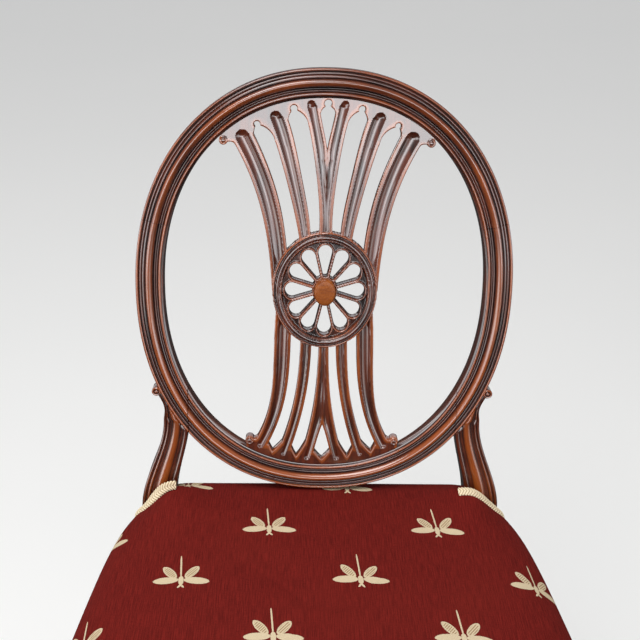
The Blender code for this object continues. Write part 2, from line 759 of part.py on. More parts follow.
def make_boss():
    """The oval boss: rounded rim, flat top and a spigot into the hub."""
    base = -SPLAT_DROP - WHEEL_STEP + FIT_GAP
    top = -SPLAT_DROP + BOSS_RISE
    sides = 2 * ROUND_SIDES
    wide, high = BOSS_HALF_WIDTH, BOSS_HALF_HEIGHT
    levels = [
        (SPIGOT_RADIUS, SPIGOT_RADIUS, base - SPIGOT_LENGTH),
        (SPIGOT_RADIUS, SPIGOT_RADIUS, base),
        (wide, high, base),
    ]
    for turn in spread(0, math.pi / 2, 3):
        draw = BOSS_ROUND * (1 - math.cos(turn))
        levels.append((wide - draw, high - draw, top - BOSS_ROUND * (1 - math.sin(turn))))
    sections = [[back_local(u, v, w) for u, v in ellipse(a, b, sides)] for a, b, w in levels]
    return loft("wheel_boss", sections, BOSS_WOOD, parent=BACK)


# Seat frame


def side_line(y):
    """Half the frame's outer width in plan: straight from the rear leg to the front leg's block."""
    share = min((REAR_LEG_Y - y) / (SEAT_DEPTH - FRONT_LEG_SIZE), 1.0)
    return REAR_HALF_WIDTH + (FRONT_HALF_WIDTH - REAR_HALF_WIDTH) * share


def front_line(x):
    """The bowed front of the frame in plan."""
    share = min(abs(x) / FRONT_HALF_WIDTH, 1.0)
    return FRONT_Y - FRONT_BOW * (1 - share * share)


def add_tenon(rail, name, low, high, hosts):
    """A tenon on the rail and its mortise in the leg. Low and high bound the tenon in plan."""
    bottom, top = RAIL_BOTTOM + TENON_SHOULDER, RAIL_TOP - TENON_SHOULDER
    tenon = box(name, (*low, bottom), (*high, top), BEECH)
    combine(rail, tenon, "UNION")
    grow = FIT_GAP
    mortise = box(
        f"{name}_mortise",
        (low[0] - grow, low[1] - grow, bottom - grow),
        (high[0] + grow, high[1] + grow, top + grow),
        BEECH,
    )
    combine(hosts, mortise, "DIFFERENCE")


def make_side_rail(side, front_leg, rear_leg):
    name = side_name("side_seat_rail", side)
    front, back = FRONT_LEG_BACK + FIT_GAP, REAR_LEG_Y - FIT_GAP
    corners = (
        (side_line(back), back),
        (side_line(front), front),
        (side_line(front) - RAIL_THICKNESS, front),
        (side_line(back) - RAIL_THICKNESS, back),
    )
    outline = [(side * x, y) for x, y in corners]
    rail = prism(name, outline, RAIL_BOTTOM, RAIL_TOP, BEECH)
    reach = RAIL_THICKNESS / 2
    for end, y_low, y_high, leg in (
        ("front", front - TENON_LENGTH, front + reach, front_leg),
        ("rear", back - reach, back + TENON_LENGTH, rear_leg),
    ):
        middle = side * (side_line(front if end == "front" else back) - RAIL_THICKNESS / 2)
        low = (middle - TENON_THICKNESS / 2, y_low)
        high = (middle + TENON_THICKNESS / 2, y_high)
        add_tenon(rail, f"{name}_{end}_tenon", low, high, leg)
    return rail


def make_cross_rail(name, outline, half, tenon_y, legs):
    """The front or rear rail with a tenon at each end."""
    rail = prism(name, outline, RAIL_BOTTOM, RAIL_TOP, BEECH)
    for side, leg in zip((-1, 1), legs):
        ends = sorted((side * (half - RAIL_THICKNESS / 2), side * (half + TENON_LENGTH)))
        low = (ends[0], tenon_y - TENON_THICKNESS / 2)
        high = (ends[1], tenon_y + TENON_THICKNESS / 2)
        add_tenon(rail, side_name(f"{name}_tenon", side), low, high, leg)
    return rail


def make_front_rail(legs):
    """Bowed outside and straight inside, between the front legs."""
    half = FRONT_LEG_INNER - FIT_GAP
    outline = [(x, front_line(x)) for x in spread(-half, half, 12)]
    outline += [(half, FRONT_RAIL_BACK), (-half, FRONT_RAIL_BACK)]
    tenon_y = FRONT_Y + (FRONT_LEG_SIZE - TENON_LENGTH) / 2
    return make_cross_rail("front_seat_rail", outline, half, tenon_y, legs)


def make_rear_rail(legs):
    half = REAR_LEG_INNER - FIT_GAP
    outline = rectangle((-half, REAR_RAIL_FRONT), (half, REAR_RAIL_BACK))
    tenon_y = REAR_LEG_Y + (TENON_LENGTH + REAR_LEG_DEPTH) / 2
    return make_cross_rail("rear_seat_rail", outline, half, tenon_y, legs)


def fluted_face(size, depth):
    """Points along one face of the front leg, as (along, into the face), with its flutes."""
    land = size / (3 * LEG_FLUTES + 2)
    shoulder = FLUTE_SHOULDER * depth
    points = []
    for k in range(LEG_FLUTES):
        places = spread((1.5 + 3 * k) * land, (3.5 + 3 * k) * land, 4)
        points += zip(places, (0, shoulder, depth, shoulder, 0))
    return points


def front_leg_section(side, z, corner, size, depth):
    """A square section with flutes on its front and outer faces. The corner is the outer front one."""
    flutes = fluted_face(size, depth)
    points = [(0, LEG_ARRIS), (LEG_ARRIS, 0)] + flutes
    points += [(size, 0), (size, size), (0, size)]
    points += [(into, size - along) for along, into in flutes]
    x, y = corner
    return [Vector((side * (x - inward), y + back, z)) for inward, back in points]


def make_front_leg(side):
    """Square tapered leg: straight outer faces, tapered inner faces, stopped flutes and a spade foot."""
    taper_top = RAIL_BOTTOM - LEG_FLUTE_MARGIN / 2
    spade_top = ANKLE_HEIGHT - SPADE_FLARE
    levels = [(RAIL_TOP, FRONT_LEG_SIZE, 0.0), (taper_top, FRONT_LEG_SIZE, 0.0)]
    high, low = taper_top - LEG_FLUTE_MARGIN, ANKLE_HEIGHT + LEG_FLUTE_MARGIN
    run = LEG_FLUTE_MARGIN / 3
    for z, share in ((high, 0), (high - run, 1), (low + run, 1), (low, 0), (ANKLE_HEIGHT, 0)):
        fall = (taper_top - z) / (taper_top - ANKLE_HEIGHT)
        levels.append((z, FRONT_LEG_SIZE + (ANKLE_SIZE - FRONT_LEG_SIZE) * fall, share))
    levels += [(spade_top, SPADE_SIZE, 0.0), (0.0, SPADE_TOE_SIZE, 0.0)]
    sections = []
    for z, size, share in levels:
        flare = (size - ANKLE_SIZE) / 2 if z < ANKLE_HEIGHT else 0.0
        corner = (FRONT_HALF_WIDTH + flare, FRONT_Y - flare)
        sections.append(front_leg_section(side, z, corner, size, share * LEG_FLUTE_DEPTH))
    return loft(side_name("front_leg", side), sections, MAHOGANY)


# Corner blocks


def add_screw(name, face_point, into, pieces):
    """A screw through a block into a rail. The face point is where its axis enters the rail."""
    start = face_point - into * (SCREW_GRIP + SCREW_HEAD_HEIGHT)
    end = face_point + into * SCREW_BITE
    length = (end - start).length
    seat = SCREW_HEAD_HEIGHT
    wide, thin = SCREW_HEAD_RADIUS, SCREW_RADIUS
    turned(name, start, end, ((0, wide), (seat, wide), (seat, thin), (length, thin)), STEEL)
    wide, thin = wide + FIT_GAP, thin + FIT_GAP
    seat, length = seat + FIT_GAP, length + FIT_GAP
    steps = ((-BLOCK_WIDTH, wide), (seat, wide), (seat, thin), (length, thin))
    hole = turned(f"{name}_hole", start, end, steps, STEEL)
    for piece in pieces:
        combine(piece, hole, "DIFFERENCE")


def make_corner_block(end, side, cross_rail, side_rail):
    """A diagonal block across a corner of the frame, clear of the leg, with a screw into each rail."""
    front = end == "front"
    inwards = 1 if front else -1
    face_y = FRONT_RAIL_BACK if front else REAR_RAIL_FRONT
    face_x = side_line(face_y) - RAIL_THICKNESS
    leg_x, leg_y = (FRONT_LEG_INNER, FRONT_LEG_BACK) if front else (REAR_LEG_INNER, REAR_LEG_Y)
    near = (face_x - leg_x) + inwards * (leg_y - face_y) + BLOCK_CLEARANCE
    far = near + BLOCK_WIDTH

    def on_cross(distance):
        return side * (face_x - distance), face_y + inwards * FIT_GAP

    def on_side(distance):
        y = face_y + inwards * distance
        return side * (side_line(y) - RAIL_THICKNESS - FIT_GAP), y

    name = side_name(f"corner_block_{end}", side)
    top = RAIL_TOP - BLOCK_DROP
    outline = [on_cross(near), on_cross(far), on_side(far), on_side(near)]
    block = prism(name, outline, top - BLOCK_HEIGHT, top, BEECH)
    middle, height = (near + far) / 2, top - BLOCK_HEIGHT / 2
    screw = side_name(f"block_screw_{end}", side)
    entry = Vector((*on_cross(middle), height))
    add_screw(f"{screw}_1", entry, Vector((0, -inwards, 0)), (block, cross_rail))
    entry = Vector((*on_side(middle), height))
    add_screw(f"{screw}_2", entry, Vector((side, 0, 0)), (block, side_rail))


# Upholstery


def bulge_at(y):
    """How far the stuffed cover stands out over the side rails: nothing at the rear legs."""
    return SIDE_BULGE * (1 - math.exp(-max(REAR_LEG_Y - y, 0.0) / BULGE_RUN))


def cover_side(y, offset, share):
    return side_line(y) + COVER_SKIN + offset + share * bulge_at(y)


def cover_front(x, offset, share):
    return front_line(x) - COVER_SKIN - offset - share * FRONT_BULGE


def cover_half_outline(offset, share):
    """Half of the seat cover in plan, rear middle to front middle, as (x, y, hangs down over the rail)."""
    rear = COVER_REAR + offset
    notch_x = REAR_LEG_INNER - NOTCH_CLEARANCE + offset
    notch_y = REAR_LEG_Y - FIT_GAP + offset
    free_x, free_y = notch_x - COVER_RELEASE, notch_y - COVER_RELEASE
    points = [(x, rear, True) for x in spread(0, free_x, 4)]
    points += [(notch_x, rear, False), (notch_x, notch_y, False)]
    side_end = cover_side(notch_y, offset, share)
    points += [((notch_x + side_end) / 2, notch_y, False), (side_end, notch_y, False)]
    corner_y = cover_front(cover_side(FRONT_Y, offset, share), offset, share)
    corner_x = cover_side(corner_y, offset, share)
    corner_round = CORNER_EASE + share * CORNER_ROUND
    turn_y = corner_y + corner_round
    crowded = [k**SIDE_CROWDING for k in spread(0, 1, 6)]
    side_places = [free_y + (FRONT_LEG_BACK - free_y) * k for k in crowded] + [turn_y]
    points += [(cover_side(y, offset, share), y, True) for y in side_places]
    turn_x = corner_x - corner_round
    start, end = (cover_side(turn_y, offset, share), turn_y), (turn_x, cover_front(turn_x, offset, share))
    for t in spread(0, 1, CORNER_STEPS)[1:-1]:
        s = 1 - t
        x = s * s * start[0] + 2 * s * t * corner_x + t * t * end[0]
        y = s * s * start[1] + 2 * s * t * corner_y + t * t * end[1]
        points.append((x, y, True))
    points += [(x, cover_front(x, offset, share), True) for x in spread(turn_x, 0, 6)]
    return points


def cover_outline(offset, share):
    half = cover_half_outline(offset, share)
    return half + [(-x, y, hangs) for x, y, hangs in reversed(half[1:-1])]


def roll(distance, radius):
    """Height of a rounded edge, from nothing at the edge to one at its radius."""
    share = min(max(distance / radius, 0.0), 1.0)
    return math.sqrt(1 - (1 - share) ** 2)


def seat_height(x, y, offset):
    """The crowned top of the seat, rolled down at its sides, front and back."""
    side = cover_side(y, offset, 1)
    front = cover_front(x, offset, 1)
    rear = COVER_REAR + offset
    rolled = roll(side - abs(x), SIDE_ROLL) * roll(y - front, FRONT_ROLL) * roll(rear - y, REAR_ROLL)
    middle = (rear + COVER_FRONT) / 2
    reach = (rear - COVER_FRONT) / 2
    crown = max(0.0, 1 - (x / side) ** 2) * max(0.0, 1 - ((y - middle) / reach) ** 2)
    return ROLL_START + offset + ROLL_HEIGHT * rolled + SEAT_CROWN * crown


def crown_rings(offset):
    """Rings over the top of the seat, from its edge inwards to a small ring in the middle."""
    edge = cover_outline(offset, 1)
    middle = Vector((0, (COVER_REAR + COVER_FRONT) / 2))
    rings = []
    for scale in CROWN_SCALES:
        ring = []
        for x, y, _ in edge:
            place = middle + (Vector((x, y)) - middle) * scale
            ring.append(Vector((*place, seat_height(*place, offset))))
        rings.append(ring)
    return rings


def wall_rings(offset, top_ring):
    """Rings up the hanging sides of the cover. Beside the rear legs it stops above the rails."""
    rings = []
    for rise, share in WALL_LEVELS:
        ring = []
        for (x, y, hangs), top in zip(cover_outline(offset, share), top_ring):
            foot = RAIL_BOTTOM if hangs else RAIL_TOP + COVER_SKIN
            ring.append(Vector((x, y, foot + (top.z - foot) * rise)))
        rings.append(ring)
    return rings


def make_cover():
    """The cloth as a thin shell, open below."""
    outer, inner = crown_rings(0.0), crown_rings(-COVER_THICKNESS)
    rings = list(reversed(outer)) + list(reversed(wall_rings(0.0, outer[0])))
    rings += wall_rings(-COVER_THICKNESS, inner[0]) + inner
    return loft("seat_cover", rings, CLOTH)


def make_stuffing():
    """The crowned pad on the hessian, just inside the cover, drawn in at its foot."""
    offset = -COVER_THICKNESS - FIT_GAP
    middle = Vector((0, (COVER_REAR + COVER_FRONT) / 2))
    base = []
    for x, y, _ in cover_outline(offset, 0):
        place = middle + (Vector((x, y)) - middle) * CROWN_SCALES[1]
        base.append(Vector((*place, STUFFING_BOTTOM)))
    return loft("seat_stuffing", [base, *crown_rings(offset)[1:]], HAIR)


def make_strap(name, points, across):
    """A flat strap through (point) places, with its width along one direction."""
    sections = []
    half = across * STRAP_WIDTH / 2
    rise = Vector((0, 0, STRAP_THICKNESS / 2))
    for point in points:
        left, right = point - half, point + half
        sections.append([left - rise, right - rise, right + rise, left + rise])
    return loft(name, sections, JUTE)


def strap_levels(ends, rails, crossings, over):
    """Places along a strap as (distance, height): flat on both rails, then over and under the others."""
    half = STRAP_WIDTH / 2
    places = [(ends[0], STRAP_LOW), (rails[0], STRAP_LOW)]
    for k, crossing in enumerate(crossings):
        level = STRAP_HIGH if (k + over) % 2 else STRAP_LOW
        places += [(crossing - half, level), (crossing + half, level)]
    return places + [(rails[1], STRAP_LOW), (ends[1], STRAP_LOW)]


def make_webbing():
    """Four straps front to back and four side to side, interlaced."""
    shifts = [(k - (STRAP_COUNT - 1) / 2) * STRAP_PITCH for k in range(STRAP_COUNT)]
    middle = (REAR_RAIL_FRONT + FRONT_RAIL_BACK) / 2
    rows = [middle + shift for shift in shifts]
    rails = (FRONT_RAIL_BACK, REAR_RAIL_FRONT)
    ends = (rails[0] - STRAP_LAP, rails[1] + STRAP_LAP)
    for k, x in enumerate(shifts):
        places = [Vector((x, y, z)) for y, z in strap_levels(ends, rails, rows, k)]
        make_strap(f"webbing_long_{k + 1}", places, Vector((1, 0, 0)))
    for k, y in enumerate(rows):
        half = side_line(y) - RAIL_THICKNESS
        levels = strap_levels((-half - STRAP_LAP, half + STRAP_LAP), (-half, half), shifts, k + 1)
        make_strap(f"webbing_cross_{k + 1}", [Vector((x, y, z)) for x, z in levels], Vector((0, 1, 0)))


def make_hessian():
    outline = [(x, y) for x, y, _ in cover_outline(-COVER_SKIN - HESSIAN_SET, 0)]
    return prism("hessian_sheet", outline, HESSIAN_BOTTOM, HESSIAN_BOTTOM + HESSIAN_THICKNESS, HESSIAN)


def leg_gimp_edge(y):
    """One edge of the braid beside a leg, as pairs of places on its under and upper face."""
    edge = cover_side(y, 0, 1)
    path = []
    for turn in GIMP_TURNS:
        x = edge - SIDE_ROLL * (1 - math.cos(math.radians(turn)))
        path.append(Vector((x, seat_height(x, y, 0))))
    path.append(Vector((edge, ROLL_START)))
    for rise, share in reversed(WALL_LEVELS[1:]):
        path.append(Vector((cover_side(y, 0, share), RAIL_BOTTOM + (ROLL_START - RAIL_BOTTOM) * rise)))
    pairs = []
    for k, point in enumerate(path):
        along = (path[min(k + 1, len(path) - 1)] - path[max(k - 1, 0)]).normalized()
        out = Vector((-along.y, along.x))
        places = (point + out * 2 * FIT_GAP, point + out * (2 * FIT_GAP + GIMP_THICKNESS))
        pairs.append([(place.x, y, place.y) for place in places])
    return pairs


def make_leg_gimp(side):
    """Braid over the cut edge of the cover: across the front of the stile, then down beside the leg."""
    back = REAR_LEG_Y - 2 * FIT_GAP
    sections = []
    for front_pair, back_pair in zip(leg_gimp_edge(back - GIMP_WIDTH), leg_gimp_edge(back)):
        corners = (front_pair[0], back_pair[0], back_pair[1], front_pair[1])
        sections.append([Vector((side * x, y, z)) for x, y, z in corners])
    return loft(side_name("gimp_rear_leg", side), sections, BRAID)


def border_line(offset):
    """The cover's lower edge in plan, from one rear leg round the front to the other."""
    return [(x, y) for x, y, hangs in cover_outline(offset, 0) if hangs and y < REAR_LEG_Y]


def make_border_gimp():
    """Braid along the lower edge of the cover."""
    bottom = RAIL_BOTTOM + GIMP_THICKNESS / 2
    top = bottom + GIMP_WIDTH
    sections = [
        [Vector((*a, bottom)), Vector((*b, bottom)), Vector((*b, top)), Vector((*a, top))]
        for a, b in zip(border_line(FIT_GAP), border_line(FIT_GAP + GIMP_THICKNESS))
    ]
    return loft("gimp_border", sections, BRAID)


def make_rear_gimp():
    half = REAR_LEG_INNER - NOTCH_CLEARANCE - COVER_RELEASE
    low = (-half, COVER_REAR + FIT_GAP, RAIL_BOTTOM + GIMP_THICKNESS / 2)
    high = (half, COVER_REAR + FIT_GAP + GIMP_THICKNESS, low[2] + GIMP_WIDTH)
    return box("gimp_rear", low, high, BRAID)


def make_dust_cover(rails):
    """A dark sheet under the rails, cut round the legs and tacked to each rail."""
    top = RAIL_BOTTOM - FIT_GAP
    bottom = top - DUST_COVER_THICKNESS
    rear, front = REAR_RAIL_BACK - DUST_COVER_SET, FRONT_Y + DUST_COVER_SET
    rear_x, front_x = REAR_LEG_INNER - DUST_COVER_SET, FRONT_LEG_INNER - DUST_COVER_SET
    rear_y, front_y = REAR_LEG_Y - DUST_COVER_SET, FRONT_LEG_BACK + DUST_COVER_SET
    half = [
        (rear_x, rear),
        (rear_x, rear_y),
        (side_line(rear_y) - DUST_COVER_SET, rear_y),
        (side_line(front_y) - DUST_COVER_SET, front_y),
        (front_x, front_y),
        (front_x, front),
    ]
    sheet = prism("dust_cover", half + [(-x, y) for x, y in reversed(half)], bottom, top, CAMBRIC)
    middle_y = (REAR_LEG_Y + FRONT_LEG_BACK) / 2
    rear_mid = (REAR_RAIL_BACK + REAR_RAIL_FRONT) / 2
    front_mid = (FRONT_Y + FRONT_RAIL_BACK) / 2
    spots = []
    for shift in (-TACK_SPREAD, TACK_SPREAD):
        y = middle_y + shift
        x = side_line(y) - RAIL_THICKNESS / 2
        spots += [("front_seat_rail", shift, front_mid), ("rear_seat_rail", shift, rear_mid)]
        spots += [("side_seat_rail_left", -x, y), ("side_seat_rail_right", x, y)]
    for number, (rail, x, y) in enumerate(spots, start=1):
        add_tack(f"dust_cover_tack_{number}", Vector((x, y, bottom)), (sheet, rails[rail]))


def add_tack(name, under, pieces):
    """A tack driven up through the sheet into the rail."""
    start = under - Vector((0, 0, FIT_GAP + TACK_HEAD))
    end = start + Vector((0, 0, TACK_HEAD + TACK_SHANK))
    length = TACK_HEAD + TACK_SHANK
    steps = (
        (0, TACK_RADIUS / 2),
        (TACK_HEAD, TACK_RADIUS),
        (TACK_HEAD, TACK_SHANK_RADIUS),
        (length, TACK_SHANK_RADIUS / 2),
    )
    turned(name, start, end, steps, STEEL)
    lift = Vector((0, 0, FIT_GAP))
    hole = rod(f"{name}_hole", under - lift, end + lift, TACK_SHANK_RADIUS + FIT_GAP, STEEL)
    for piece in pieces:
        combine(piece, hole, "DIFFERENCE")


# Assembly


def make_back():
    """The oval frame on the two rear legs, with its dowels, the splat and the boss."""
    crest, lower = make_crest_rail(), make_lower_rail()
    legs = [make_rear_leg(side) for side in (-1, 1)]
    for side, leg in zip((-1, 1), legs):
        make_joint_dowels(side_name("crest_dowel", side), CREST_JOINT_ANGLE, side, (crest, leg))
        make_joint_dowels(side_name("lower_dowel", side), LOWER_JOINT_ANGLE, side, (lower, leg))
    make_splat()
    make_boss()
    combine(crest, make_tongue("crest_groove", UPPER_WEB_HALF, 1, FIT_GAP), "DIFFERENCE")
    combine(lower, make_tongue("lower_groove", LOWER_WEB_HALF, -1, FIT_GAP), "DIFFERENCE")
    return legs


def make_seat_frame(rear_legs):
    """Front legs, the four rails and the corner blocks."""
    front_legs = [make_front_leg(side) for side in (-1, 1)]
    rails = {"front_seat_rail": make_front_rail(front_legs), "rear_seat_rail": make_rear_rail(rear_legs)}
    for side, front_leg, rear_leg in zip((-1, 1), front_legs, rear_legs):
        rail = make_side_rail(side, front_leg, rear_leg)
        rails[rail.name] = rail
        for end in ("front", "rear"):
            make_corner_block(end, side, rails[f"{end}_seat_rail"], rail)
    return rails


def make_upholstery(rails):
    make_webbing()
    make_hessian()
    make_stuffing()
    make_cover()
    for side in (-1, 1):
        make_leg_gimp(side)
    make_border_gimp()
    make_rear_gimp()
    make_dust_cover(rails)


make_upholstery(make_seat_frame(make_back()))
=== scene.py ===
"""Looks of the wheel back dining chair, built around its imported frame.

Metres, +Z up. Points of the back are given in its tilted plane: u to the right, v up the plane and w out of
its front face, from the middle of the oval. Wooden pieces carry a grain map and a wear value at each point:
bead tops are worn, grooves are not.
"""

import json
import math

import bmesh
import bpy
import numpy as np
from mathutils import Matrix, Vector


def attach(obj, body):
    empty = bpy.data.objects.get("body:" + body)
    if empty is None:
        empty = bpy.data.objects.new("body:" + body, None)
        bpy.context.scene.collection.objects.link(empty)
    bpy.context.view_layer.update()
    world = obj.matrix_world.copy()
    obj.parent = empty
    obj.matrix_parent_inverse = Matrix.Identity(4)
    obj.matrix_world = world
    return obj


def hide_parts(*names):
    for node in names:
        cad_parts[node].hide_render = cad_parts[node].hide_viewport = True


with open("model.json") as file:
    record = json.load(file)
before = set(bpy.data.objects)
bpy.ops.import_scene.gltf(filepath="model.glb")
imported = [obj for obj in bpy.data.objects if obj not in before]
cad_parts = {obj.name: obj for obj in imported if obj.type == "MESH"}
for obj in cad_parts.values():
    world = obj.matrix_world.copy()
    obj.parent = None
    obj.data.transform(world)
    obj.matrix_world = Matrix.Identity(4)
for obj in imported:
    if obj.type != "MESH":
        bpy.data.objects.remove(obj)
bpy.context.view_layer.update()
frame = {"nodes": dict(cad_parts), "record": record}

# Sizes shared with the frame
MM = 0.001
FIT_GAP = 0.0003
BACK_TILT = math.radians(14.5)
OVAL_HALF_WIDTH = 0.215
OVAL_HALF_HEIGHT = 0.247
OVAL_POWER = 2.155
OVAL_CLEARANCE = 0.0015
MOULD_WIDTH = 0.0315
MOULD_DEPTH = 0.027
BACK_EASE = 0.004
CREST_JOINT_ANGLE = math.radians(18.7)
LOWER_JOINT_HALF = 0.158
STILE_DROP = 0.003
STILE_RELIEF = 0.0035
STILE_LAP = 0.008
STILE_FOOT_DROP = 0.025
STILE_NECK_RISE = 0.087
STILE_NECK_WIDTH = 0.029
STILE_TOP_DEPTH = 0.026
EAR_RISE = 0.123
EAR_RADIUS = 0.0055
EAR_REACH = 0.004
SPLAT_DROP = 0.0065
SPLAT_THICKNESS = 0.0135
WHEEL_HALF_WIDTH = 0.0600
WHEEL_HALF_HEIGHT = 0.0678
RING_WIDTH = 0.012
SPOKE_COUNT = 12
SPOKE_WIDTH = 0.0034
PETAL_REACH = 0.95
HUB_SHARE = 0.30
BOSS_HALF_WIDTH = 0.0123
BOSS_HALF_HEIGHT = 0.0156
BOSS_RISE = 0.0105
SEAT_DEPTH = 0.400
FRONT_HALF_WIDTH = 0.260
REAR_HALF_WIDTH = 0.216
FRONT_BOW = 0.022
RAIL_BOTTOM = 0.350
RAIL_HEIGHT = 0.068
RAIL_THICKNESS = 0.024
FRONT_RAIL_INSET = 0.027
REAR_RAIL_SET = 0.004
REAR_LEG_WIDTH = 0.039
REAR_LEG_DEPTH = 0.042
REAR_FOOT_SIZE = 0.029
REAR_RAKE = 0.085
REAR_RAKE_POWER = 1.7
FRONT_LEG_SIZE = 0.044
ANKLE_SIZE = 0.027
ANKLE_HEIGHT = 0.086
SPADE_SIZE = 0.038
SPADE_FLARE = 0.009
SPADE_TOE_SIZE = 0.030
LEG_FLUTES = 3
LEG_FLUTE_DEPTH = 0.0025
LEG_FLUTE_MARGIN = 0.018
COVER_THICKNESS = 0.0016
NOTCH_CLEARANCE = 0.0020
ROLL_RISE = 0.027
ROLL_HEIGHT = 0.027
SIDE_ROLL = 0.060
FRONT_ROLL = 0.050
REAR_ROLL = 0.016
SEAT_CROWN = 0.012
SIDE_BULGE = 0.021
FRONT_BULGE = 0.012
BULGE_RUN = 0.038
CORNER_EASE = 0.002
CORNER_ROUND = 0.018
STRAP_WIDTH = 0.050
STRAP_THICKNESS = 0.0012
STRAP_LAP = 0.018
STRAP_PITCH = 0.078
STRAP_COUNT = 4
HESSIAN_THICKNESS = 0.0008
HESSIAN_SET = 0.006
GIMP_WIDTH = 0.011
GIMP_THICKNESS = 0.0022
DUST_COVER_THICKNESS = 0.0008
DUST_COVER_SET = 0.004

# Places that follow from the sizes
RAIL_TOP = RAIL_BOTTOM + RAIL_HEIGHT
COVER_SKIN = FIT_GAP + COVER_THICKNESS
COVER_RELEASE = FIT_GAP + GIMP_WIDTH
ROLL_START = RAIL_TOP + ROLL_RISE
SEAT_CREST = ROLL_START + ROLL_HEIGHT
SEAT_REACH = SEAT_DEPTH + FRONT_BOW + COVER_SKIN + FRONT_BULGE
TILT_SIN = math.sin(BACK_TILT)
TILT_COS = math.cos(BACK_TILT)
STILE_FOOT = -OVAL_HALF_HEIGHT - STILE_FOOT_DROP
STILE_NECK = -OVAL_HALF_HEIGHT + STILE_NECK_RISE
EAR_V = -OVAL_HALF_HEIGHT + EAR_RISE
BACK_REACH = (OVAL_HALF_HEIGHT - STILE_FOOT) * TILT_SIN + MOULD_DEPTH * TILT_COS
REAR_LEG_Y = (SEAT_REACH - BACK_REACH) / 2
FRONT_Y = REAR_LEG_Y - SEAT_DEPTH
BACK_Y = REAR_LEG_Y - STILE_FOOT * TILT_SIN
BACK_Z = SEAT_CREST + OVAL_CLEARANCE + OVAL_HALF_HEIGHT * TILT_COS + MOULD_DEPTH * TILT_SIN
REAR_LEG_INNER = REAR_HALF_WIDTH - REAR_LEG_WIDTH
REAR_RAIL_BACK = REAR_LEG_Y + REAR_LEG_DEPTH - REAR_RAIL_SET
REAR_RAIL_FRONT = REAR_RAIL_BACK - RAIL_THICKNESS
FRONT_LEG_INNER = FRONT_HALF_WIDTH - FRONT_LEG_SIZE
FRONT_LEG_BACK = FRONT_Y + FRONT_LEG_SIZE
FRONT_RAIL_BACK = FRONT_Y + FRONT_RAIL_INSET
COVER_REAR = REAR_RAIL_BACK + COVER_SKIN
COVER_FRONT = FRONT_Y - FRONT_BOW - COVER_SKIN
COVER_MIDDLE = (COVER_REAR + COVER_FRONT) / 2
SEAT_MIDDLE = np.array((0.0, COVER_MIDDLE))
SPLAT_BACK = -SPLAT_DROP - SPLAT_THICKNESS
STRAP_LOW = RAIL_TOP + FIT_GAP + STRAP_THICKNESS / 2
STRAP_HIGH = STRAP_LOW + STRAP_THICKNESS + FIT_GAP
HESSIAN_BOTTOM = STRAP_HIGH + STRAP_THICKNESS / 2 + FIT_GAP


# Materials


class Nodes:
    """A node tree, with short ways to add to it."""

    def __init__(self, tree):
        self.tree = tree

    def feed(self, socket, value):
        if isinstance(value, bpy.types.NodeSocket):
            self.tree.links.new(value, socket)
        else:
            socket.default_value = value

    def add(self, kind, inputs=None, **properties):
        node = self.tree.nodes.new("ShaderNode" + kind)
        for key, value in properties.items():
            setattr(node, key, value)
        for key, value in (inputs or {}).items():
            self.feed(node.inputs[key], value)
        return node

    def math(self, operation, first, second=0.0):
        return self.add("Math", {0: first, 1: second}, operation=operation).outputs[0]

    def scaled(self, value, factor, offset=0.0):
        inputs = {0: value, 1: factor, 2: offset}
        return self.add("Math", inputs, operation="MULTIPLY_ADD").outputs[0]

    def parts(self, vector):
        return self.add("SeparateXYZ", {0: vector}).outputs

    def ramp(self, value, low=0.0, high=1.0, first=0.0, last=1.0, form="LINEAR"):
        """The value's way from low to high, turned into a way from first to last."""
        inputs = {"Value": value, "From Min": low, "From Max": high, "To Min": first, "To Max": last}
        return self.add("MapRange", inputs, interpolation_type=form).outputs[0]

    def step(self, value, low, high):
        """A smooth step of the value from low to high, between nothing and one."""
        return self.ramp(value, low, high, form="SMOOTHSTEP")

    def mix(self, share, first, second):
        return self.add("Mix", {0: share, 6: first, 7: second}, data_type="RGBA").outputs[2]

    def tint(self, base, other, value, low, high, most=1.0):
        """The base colour, mixed with up to a share of another where a value steps from low to high."""
        return self.mix(self.scaled(self.step(value, low, high), most), base, other)

    def place(self, vector, scale, location=(0, 0, 0), turn=0.0, kind="POINT"):
        inputs = {"Vector": vector, "Location": location, "Rotation": (0, 0, turn), "Scale": scale}
        return self.add("Mapping", inputs, vector_type=kind).outputs[0]

    def noise(self, vector, scale, detail=3.0, roughness=0.55, distortion=0.0):
        """Noise of one scale, or stretched by a scale for each axis."""
        if isinstance(scale, tuple):
            vector, scale = self.place(vector, scale), 1.0
        inputs = {
            "Vector": vector, "Scale": scale, "Detail": detail,
            "Roughness": roughness, "Distortion": distortion,
        }
        return self.add("TexNoise", inputs).outputs["Fac"]


class Graph(Nodes):
    """One material's nodes. Values that are the same all over sit on the shader's own sockets."""

    def __init__(self, name, **constants):
        self.material = bpy.data.materials.new(name)
        self.material.use_nodes = True
        super().__init__(self.material.node_tree)
        self.shade(**constants)

    def map(self, name):
        return self.add("UVMap", uv_map=name).outputs[0]

    def shade(self, **sockets):
        shader = self.tree.nodes["Principled BSDF"]
        for socket, value in sockets.items():
            self.feed(shader.inputs[socket.replace("_", " ")], value)
        return self.material

    def finish(self, tone, rough, height, distance, strength):
        """The material with its colour, roughness and fine relief."""
        bump = self.add("Bump", {"Height": height, "Distance": distance, "Strength": strength})
        return self.shade(Base_Color=tone, Roughness=rough, Normal=bump.outputs[0])


def colour(red, green, blue):
    return (red, green, blue, 1.0)


GRAIN_MAP = "grain"
CLOTH_MAP = "cloth"
WEAR = "wear"
DARK_WOOD = colour(0.014, 0.0050, 0.0034)
RED_WOOD = colour(0.115, 0.0235, 0.0085)
BROWN_WOOD = colour(0.060, 0.0145, 0.0070)


